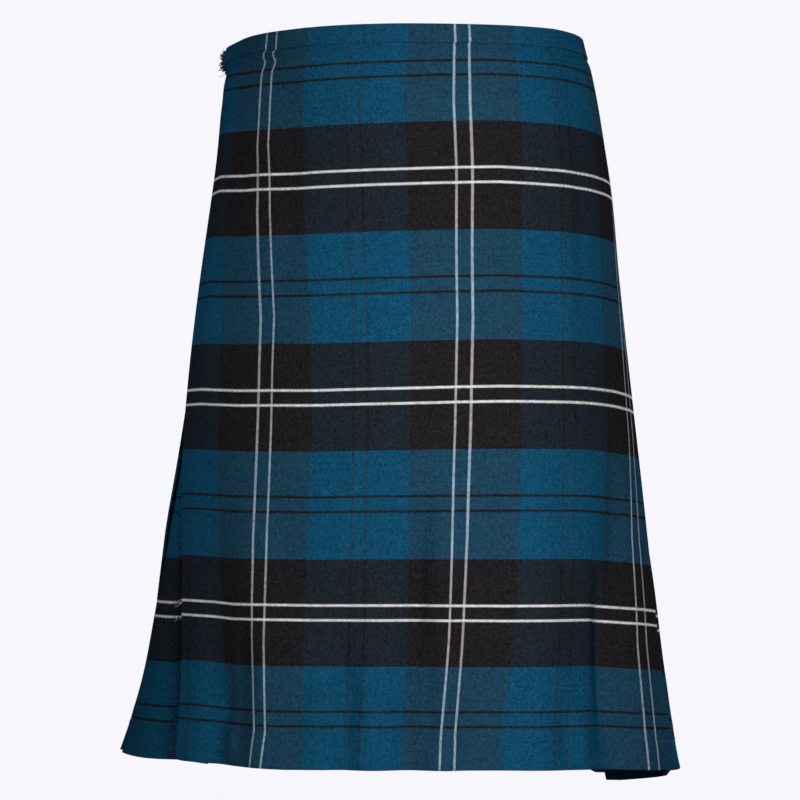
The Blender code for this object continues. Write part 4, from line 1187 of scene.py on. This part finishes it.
def stitch_tree(name, length, pitch, radius, rise):
    """Stitches along edges: each a thread that comes out of the cloth and goes back in."""
    made = Repeats(name, {"Length": length, "Pitch": pitch, "Radius": radius, "Rise": rise})
    half = made.scaled(made.size("Length"), 0.5)
    sunk = made.scaled(made.size("Radius"), -1.2)
    start, end = made.vector(made.scaled(half, -1.0), 0.0, sunk), made.vector(half, 0.0, sunk)
    middle = made.vector(0.0, 0.0, made.size("Rise"))
    thread = made.arc(start, middle, end, made.size("Radius"), 5, 5)
    line = made.add("GeometryNodeMeshToCurve", Mesh=made.given.outputs[0])
    spaced = made.add("GeometryNodeResampleCurve", {"mode": "LENGTH"}, Curve=line.outputs[0],
                      Length=made.size("Pitch"))
    facing = made.add("FunctionNodeAlignRotationToVector", {"axis": "Z"},
                      Vector=made.read("face"))
    tangent = made.add("GeometryNodeInputTangent")
    along = made.add("FunctionNodeAlignRotationToVector", {"axis": "X", "pivot_axis": "Z"},
                     Rotation=facing.outputs[0], Vector=tangent.outputs[0])
    made.finish(THREAD, Points=spaced.outputs[0], Instance=thread, Rotation=along.outputs[0])
    return made


def stitched(tree, name, lines):
    """Stitches along lines, each a pair of arrays: its points and the face's normals."""
    points, faces, edges = [], [], []
    for spots, normals in lines:
        first = len(points)
        points += list(spots)
        faces += list(normals)
        edges += [(first + k, first + k + 1) for k in range(len(spots) - 1)]
    return tree.run(name, points, edges, {"face": faces})


def on_face(arcs, depths, drop):
    """Points on the cloth's outer face at a drop, and the ring's outward normals there."""
    ring = Ring.of(drop)
    outward = -ring.inward(np.asarray(arcs))
    return lay(arcs, depths, drop), np.column_stack([outward, np.zeros(len(arcs))])


def across_apron(drop, inset_right):
    """Places along the over apron at a drop, a little inside its edges."""
    left, right = at("fringe_edge", drop), at("fold_edge", drop)
    return np.linspace(left + 0.002, right - inset_right, 240)


def cloth_stitches():
    tree = stitch_tree("hem_stitch", *HEM_STITCH)
    drop = STITCH_LINE
    arcs = across_apron(drop, 0.001)
    lines = [on_face(arcs, apron_depth(arcs, drop) - WALL * (HEM_DOUBLED / 2), drop)]
    hem = stitched(tree, "apron_hem_stitches", lines)
    lines = []
    for pleat in range(1, PLEATS + 1):
        span = np.linspace(pleat - 0.98, pleat - 0.02, 30 if pleat == PLEATS else 10)
        arcs = station_arcs(span, drop)
        depths = pleat_rises(pleat, span, drop) + tucked(span, drop)
        depths = depths + eased_in(arcs, drop) + pressed(arcs, drop)
        lines.append(on_face(arcs, depths, drop))
    pleats = stitched(tree, "pleat_hem_stitches", lines)
    seam = stitch_tree("band_stitch", *BAND_STITCH)
    drop, over = BAND_STITCH_LINE, BAND_GAP + WALL
    arcs = across_apron(drop, 0.002)
    lines = [on_face(arcs, apron_depth(arcs, drop) - over, drop)]
    stations = np.linspace(0.3, PLEATS - 0.9, 240)
    lines.append(on_face(station_arcs(stations, drop), tucked(stations, drop) - over, drop))
    return [hem, pleats, stitched(seam, "waistband_stitches", lines)]


# ---- straps and buckles -------------------------------------------------------------------------
STRAP_WIDTH = 0.025
STRAP_THICK = 0.0020
STRAP_DROP = 0.019      # middle of each strap below the waist
STRAP_GAP = 0.0004
STRAP_CLEAR = 0.0004
TAB_THICK = 0.0012
TAB_LENGTH = 0.034
BUCKLE_LENGTH = 0.0195  # between the two bars
BAR_RADIUS = 0.0013
PRONG_RADIUS = 0.0009
SLOT = 0.0044           # slot for the prong
EDGE_ROUND = ((0.0, 0.30), (0.00025, 0.72), (0.0007, 0.95), (0.0014, 1.0))  # from edge, thickness
HOLE_RADIUS = 0.0017
HOLE_PLACES = (-0.0455, BUCKLE_LENGTH + 0.008, BUCKLE_LENGTH + 0.020)
KEEPER_WIDTH, KEEPER_THICK = 0.0050, 0.0010
KEEPER_BACK = 0.027     # how far past the heel bar the keeper sits
KEEPER_CLEAR = 0.0009   # from the strap's side to the middle of the keeper's wall
FRAME_CLEAR = 0.0008    # from the strap's side to the buckle's frame
FRAME_CORNER = 0.0024   # radius of the frame's corners
PRONG_CLEAR = 0.0003    # from the bars to the prong
STITCH_INSET = 0.0024   # from the strap's edge to its stitches
ROOT_LENGTH = 0.016     # length of the strap's root that they hold


def smooth_line(points, step):
    """A smooth path through points, at even steps."""
    line = np.array(points, dtype=float)
    length = np.concatenate([[0], np.cumsum(np.linalg.norm(np.diff(line, axis=0), axis=1))])
    fine = np.linspace(0, length[-1], max(8, int(length[-1] / step)))
    return curve_through(length, line, fine)


def leather(name, path, width, thick, place, tip=0.0, step=0.0009):
    """A leather strip with rounded edges along path; tip is how far its rounded end reaches."""
    line = smooth_line(path, step)
    run = np.concatenate([[0], np.cumsum(np.hypot(*np.diff(line, axis=0).T))])
    left = np.clip((run[-1] - run) / tip, 0, 1) if tip else np.ones(len(run))
    widths = np.maximum(0.10, np.sqrt(1 - (1 - left) ** 2))
    inside = np.linspace(EDGE_ROUND[-1][0], width - EDGE_ROUND[-1][0], 7)[1:-1] - width / 2
    lanes = [(off - width / 2, share) for off, share in EDGE_ROUND]
    lanes += [(lane, 1.0) for lane in inside]
    lanes += [(width / 2 - off, share) for off, share in reversed(EDGE_ROUND)]
    ends = np.minimum(run, run[-1] - run)
    rounding = np.interp(ends, *np.array(EDGE_ROUND).T)
    sides = ([], [])
    for lane, share in lanes:
        faces = offset_pair(line[:, 0], line[:, 1], thick * share * rounding)
        for store, face in zip(sides, faces):
            store.append([place(a, o, lane * w) for (a, o), w in zip(face, widths)])
    outer, inner = (np.array(side) for side in sides)
    flat = np.zeros((*outer.shape[:2], 2))
    return wall(name, outer, inner, flat, LEATHER)


def bored(piece, cutters):
    """The piece with cutters taken away; each cutter is a pair of rings of points, low and high."""
    shape = bmesh.new()
    for low, high in cutters:
        rings = [[shape.verts.new(point) for point in ring] for ring in (low, high)]
        count = len(low)
        for k in range(count):
            n = (k + 1) % count
            shape.faces.new((rings[0][k], rings[0][n], rings[1][n], rings[1][k]))
        shape.faces.new(rings[0][::-1])
        shape.faces.new(rings[1])
    bmesh.ops.recalc_face_normals(shape, faces=shape.faces[:])
    tool = linked("cutters", meshed("cutters", shape))
    cut = piece.modifiers.new("holes", "BOOLEAN")
    cut.operation, cut.object, cut.solver = "DIFFERENCE", tool, "EXACT"
    result = settled(piece)
    result.set_sharp_from_angle(angle=math.radians(50))
    piece.modifiers.clear()
    piece.data = result
    bpy.data.objects.remove(tool)
    return piece


def hole(place, start, end, radius, low, high, sides=20):
    """A round or long hole's cutter: from start to end along the strap, between two heights."""
    rings = []
    for out in (low, high):
        ring = []
        for k in range(sides):
            angle = 2 * math.pi * (k + 0.5) / sides
            centre = end if math.cos(angle) > 0 else start
            ring.append(place(centre + radius * math.cos(angle), out, radius * math.sin(angle)))
        rings.append(ring)
    return rings


def steel_bar(name, points, radius, closed=False, sides=14, tip=1.0):
    """A round bar through points, closed into a ring or capped."""
    line = np.array(points)
    count = len(line)
    ahead = np.roll(line, -1, axis=0) if closed else np.vstack([line[1:], line[-1:]])
    behind = np.roll(line, 1, axis=0) if closed else np.vstack([line[:1], line[:-1]])
    shape = bmesh.new()
    rings, across = [], None
    for i in range(count):
        along = (ahead[i] - behind[i]) / np.linalg.norm(ahead[i] - behind[i])
        if across is None:
            across = np.cross(along, (0.31, 0.27, 0.91))
        across = across - along * np.dot(across, along)
        across /= np.linalg.norm(across)
        other = np.cross(along, across)
        share = min(1.0, (count - 1 - i) / 6) if not closed else 1.0
        size = radius * (tip + (1 - tip) * share)
        angles = 2 * math.pi * np.arange(sides) / sides
        rings.append([shape.verts.new(line[i] + size * (math.cos(a) * across + math.sin(a) * other))
                      for a in angles])
    shift = 0
    if closed:
        first, last = (np.array([v.co for v in ring]) for ring in (rings[0], rings[-1]))
        apart = [np.linalg.norm(np.roll(first, -k, axis=0) - last) for k in range(sides)]
        shift = int(np.argmin(apart))
    for i in range(count if closed else count - 1):
        here, there = rings[i], rings[(i + 1) % count]
        hop = shift if i == count - 1 else 0
        for j in range(sides):
            k = (j + 1) % sides
            shape.faces.new((here[j], here[k], there[(k + hop) % sides], there[(j + hop) % sides]))
    if not closed:
        shape.faces.new(rings[0][::-1])
        shape.faces.new(rings[-1])
    bmesh.ops.recalc_face_normals(shape, faces=shape.faces[:])
    return finished(name, meshed(name, shape), STEEL, 60)


def frame_line(length, reach, corner, out_at, steps=7):
    """Points round a buckle's frame, from the heel bar to the front bar."""
    centres = ((length - corner, reach - corner, 0), (corner, reach - corner, 1),
               (corner, corner - reach, 2), (length - corner, corner - reach, 3))
    points = []
    for along, across, quarter in centres:
        for step in range(steps):
            angle = math.pi / 2 * (quarter + step / (steps - 1))
            here = along + corner * math.cos(angle)
            points.append((here, out_at(here), across + corner * math.sin(angle)))
        last, following = np.array(points[-1]), centres[(quarter + 1) % 4]
        turn = math.pi / 2 * (quarter + 1)
        start = (following[0] + corner * math.cos(turn), 0.0,
                 following[1] + corner * math.sin(turn))
        for share in (0.2, 0.4, 0.6, 0.8):
            here = last + (np.array(start) - last) * share
            points.append((here[0], out_at(here[0]), here[2]))
    return points


def strap_stitches(side, place, root, out):
    """Two rows of stitches and a cross row that hold the strap's root to the cloth."""
    edge, inset, end = STRAP_WIDTH / 2 - STITCH_INSET, STITCH_INSET, ROOT_LENGTH
    corners = [(root - end, -edge), (root - inset, -edge), (root - inset, edge),
               (root - end, edge), (root - end, -edge)]
    points = []
    for (a, c), (b, d) in zip(corners[:-1], corners[1:]):
        points += [(a + (b - a) * t, c + (d - c) * t) for t in np.linspace(0, 1, 12)[:-1]]
    points.append(corners[-1])
    spots = np.array([place(a, out, c) for a, c in points])
    normals = np.array([place(a, out + 0.001, c) - place(a, out, c) for a, c in points]) * 1000
    tree = stitch_tree(f"strap_stitch_{side}", *STRAP_STITCH)
    piece = stitched(tree, f"strap_stitches_{side}", [(spots, normals)])
    return piece


def hip_strap(side, root, towards, run):
    """A strap, its buckle and their leather, wrapped over the pleats' waistband.

    root is the strap's first station, towards (+1 or -1) its way round the back, and run its length
    from the root to the buckle's front bar.  Lengths along it are from the heel bar, back to root.
    """
    pace = station_arcs(PLEATS // 2 + 1, 0.0) - station_arcs(PLEATS // 2, 0.0)
    heel_station = root + towards * (run + BUCKLE_LENGTH) / pace

    def place(along, out, across):
        drop = STRAP_DROP + across
        station = np.array([heel_station - towards * along / pace])
        depths = tucked(station, drop) - BAND_GAP - WALL - STRAP_CLEAR - out
        return lay(station_arcs(station, drop), depths, drop)[0]

    wrap = BAR_RADIUS + STRAP_GAP + TAB_THICK / 2
    tab_mid = STRAP_GAP + TAB_THICK / 2
    heel_out = tab_mid + wrap
    tab = [(-TAB_LENGTH, tab_mid), (-0.6 * TAB_LENGTH, tab_mid), (-0.010, tab_mid),
           (-0.0035, tab_mid)]
    tab += [(wrap * math.cos(a), heel_out + wrap * math.sin(a))
            for a in np.radians((-90, -45, 0, 45, 90))]
    tab += [(-0.006, heel_out + wrap * 0.95), (-0.011, heel_out + wrap * 0.55)]
    tab_piece = leather(f"strap_tab_{side}_leather", tab, STRAP_WIDTH, TAB_THICK, place,
                        step=0.0006)
    corners = ((-0.0050, -SLOT / 2), (0.006, -SLOT / 2), (0.006, SLOT / 2), (-0.0050, SLOT / 2))
    gap = [[place(a, out, c) for a, c in corners]
           for out in (-STRAP_CLEAR / 2, heel_out + wrap + TAB_THICK)]
    pieces = {"strap_tab": bored(tab_piece, [gap])}

    flat = STRAP_GAP + STRAP_THICK / 2
    over = heel_out + wrap + TAB_THICK / 2 + flat
    on_tab = flat + STRAP_GAP + TAB_THICK
    spans = max(2, round(run / 0.012))
    strap = [(BUCKLE_LENGTH + run * (1 - k / spans), flat) for k in range(spans)]
    strap += [(BUCKLE_LENGTH, flat), (0.014, flat + 0.0006), (0.0095, flat + 0.0026),
              (0.0015, over), (-0.002, over), (-0.008, over), (-0.014, over - 0.0016),
              (-0.020, on_tab + 0.0003), (-0.030, on_tab), (-0.037, on_tab),
              (-0.046, flat + 0.0006), (-0.052, flat + 0.0002)]
    band = leather(f"strap_{side}_leather", strap, STRAP_WIDTH, STRAP_THICK, place, tip=0.010)
    cutters = [hole(place, 0.0005, 0.0078, SLOT / 2, 0.0, over + STRAP_THICK)]
    cutters += [hole(place, along, along, HOLE_RADIUS, -STRAP_CLEAR / 2, on_tab + STRAP_THICK)
                for along in HOLE_PLACES]
    pieces["strap"] = bored(band, cutters)

    keep_out = on_tab + STRAP_THICK / 2 + 0.0010
    reach = STRAP_WIDTH / 2 + KEEPER_CLEAR
    loop = [(-reach, 0.0004), (-reach, keep_out - 0.0014), (0.0006 - reach, keep_out - 0.0003),
            (0.0014 - reach, keep_out), (0.0, keep_out), (reach - 0.0014, keep_out),
            (reach - 0.0006, keep_out - 0.0003), (reach, keep_out - 0.0014), (reach, 0.0004)]

    def keeper_place(across, out, along):
        return place(along - KEEPER_BACK, out, across)

    pieces["strap_keeper"] = leather(f"strap_keeper_{side}_leather", loop, KEEPER_WIDTH,
                                     KEEPER_THICK, keeper_place, step=0.0005)

    tip_out = flat + STRAP_THICK / 2 + 0.0007 + BAR_RADIUS

    def frame_out(along):
        return heel_out + (tip_out - heel_out) * along / BUCKLE_LENGTH

    reach = STRAP_WIDTH / 2 + FRAME_CLEAR + BAR_RADIUS
    line = frame_line(BUCKLE_LENGTH, reach, FRAME_CORNER, frame_out)
    pieces["buckle"] = steel_bar(f"buckle_{side}_frame", [place(*p) for p in line], BAR_RADIUS,
                                 closed=True)
    hook = BAR_RADIUS + PRONG_CLEAR + PRONG_RADIUS
    turns = np.radians((200, 182, 165, 147, 130, 112, 95))
    prong = [(hook * math.cos(a), heel_out + hook * math.sin(a), 0.0) for a in turns]
    rest = tip_out + BAR_RADIUS + PRONG_CLEAR + PRONG_RADIUS
    prong += [(0.004, heel_out + hook + 0.0001, 0.0), (BUCKLE_LENGTH - 0.002, rest, 0.0),
              (BUCKLE_LENGTH + 0.0022, rest - 0.0002, 0.0)]
    line = smooth_line(prong, 0.0006)
    pieces["buckle_prong"] = steel_bar(f"buckle_prong_{side}_pin", [place(*p) for p in line],
                                       PRONG_RADIUS, sides=12, tip=0.6)
    for node, piece in pieces.items():
        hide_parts(f"{node}_{side}")
        "polished_steel" if "buckle" in node else "black_leather"
        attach(piece, "root")
    stitches = strap_stitches(side, place, BUCKLE_LENGTH + run, flat + STRAP_THICK / 2)
    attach(stitches, "root")


# ---- assembly -----------------------------------------------------------------------------------
def cloth():
    apron, pleats, under = over_apron(), back_pleats(), under_apron()
    bands = [waistband_front(), waistband_back(), waistband_under()]
    for piece in [apron, pleats, under] + bands:
        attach(piece, "root")


cloth()
fringe_piece = fringe()
for piece in [fringe_piece] + cloth_stitches():
    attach(piece, "root")
hip_strap("right", root=PLEATS - 0.1, towards=-1, run=0.066)
hip_strap("left", root=1.08, towards=+1, run=0.042)


# ---- stage --------------------------------------------------------------------------------------
FLOOR_DROP = 1.10       # waist to floor
FLOOR_RADIUS = 3.0
PALE = (0.930, 0.922, 0.973)
LIGHTS = (
    # name, place, where it points, width, height, watts
    ("front_strip", (0.060, -0.47, -0.25), (0.060, 0.0, -0.34), 0.08, 1.05, 1.62),
    ("left_strip", (-0.19, -0.60, -0.32), (-0.12, 0.0, -0.34), 0.12, 1.0, 1.15),
    ("left_high", (-0.62, -0.15, -0.16), (-0.20, 0.0, -0.24), 0.12, 0.50, 0.95),
    ("right_side", (2.3, 1.3, -0.1), (0.0, 0.0, -0.35), 1.0, 1.6, 44.0),
)
AMBIENT = 0.024         # soft light from all round, as a share of PALE
CAMERA_YAW = math.radians(15.1)     # from the front, towards the wearer's right
CAMERA_AWAY, CAMERA_HEIGHT, CAMERA_TILT = 3.1055, -0.4355, math.radians(2.427)
LENS, LENS_SHIFT = 164.8, -0.0097


def floor():
    shape = bmesh.new()
    bmesh.ops.create_circle(shape, cap_ends=True, segments=96, radius=FLOOR_RADIUS)
    for vertex in shape.verts:
        vertex.co.z = -FLOOR_DROP
    piece = linked("floor", meshed("floor", shape))
    shader = Shader("pale_floor")
    x, y = shader.parts(shader.place())
    radius = (x * x + y * y).math("SQRT")
    fade = radius.above(0.62 * FLOOR_RADIUS, 0.7 * FLOOR_RADIUS)
    shader.set(Base_Color=PALE, Roughness=0.9, Alpha=1 - fade)
    piece.data.materials.append(shader.material)
    piece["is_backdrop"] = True


def area_light(name, spot, aim, width, tall, power):
    light = bpy.data.lights.new(name, "AREA")
    light.shape, light.size, light.size_y, light.energy = "RECTANGLE", width, tall, power
    lamp = linked(name, light)
    lamp.location = spot
    lamp.rotation_euler = (Vector(aim) - Vector(spot)).to_track_quat("-Z", "Y").to_euler()
    lamp.visible_camera = False


def surroundings(ambient):
    """A pale studio: the camera sees PALE, and the cloth gets that much of it as soft light."""
    world = bpy.data.worlds.new("pale_studio")
    bpy.context.scene.world = world
    world.use_nodes = True
    studio = Nodes()
    studio.tree = world.node_tree
    studio.tree.nodes.clear()
    seen = studio.add("ShaderNodeLightPath").outputs["Is Camera Ray"]
    lit, shown = (studio.add("ShaderNodeBackground", Color=PALE, Strength=strength).outputs[0]
                  for strength in (ambient, 1.0))
    mix = studio.add("ShaderNodeMixShader", i0=seen, i1=lit, i2=shown)
    studio.add("ShaderNodeOutputWorld", Surface=mix.outputs[0])


def camera():
    lens = bpy.data.cameras.new("camera")
    lens.lens, lens.sensor_width, lens.shift_x = LENS, 36.0, LENS_SHIFT
    lens.clip_end = 40.0
    eye = linked("camera", lens)
    eye.location = (-CAMERA_AWAY * math.sin(CAMERA_YAW), -CAMERA_AWAY * math.cos(CAMERA_YAW),
                    CAMERA_HEIGHT)
    eye.rotation_euler = (math.pi / 2 + CAMERA_TILT, 0.0, -CAMERA_YAW)
    bpy.context.scene.camera = eye


bpy.context.scene.view_settings.view_transform = "Standard"
floor()
surroundings(AMBIENT)
for lamp in LIGHTS:
    area_light(*lamp)
camera()

boxes = {"cad": CAD_BOX, "visual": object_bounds()}
{name: [list(map(float, corner)) for corner in box] for name, box in boxes.items()}
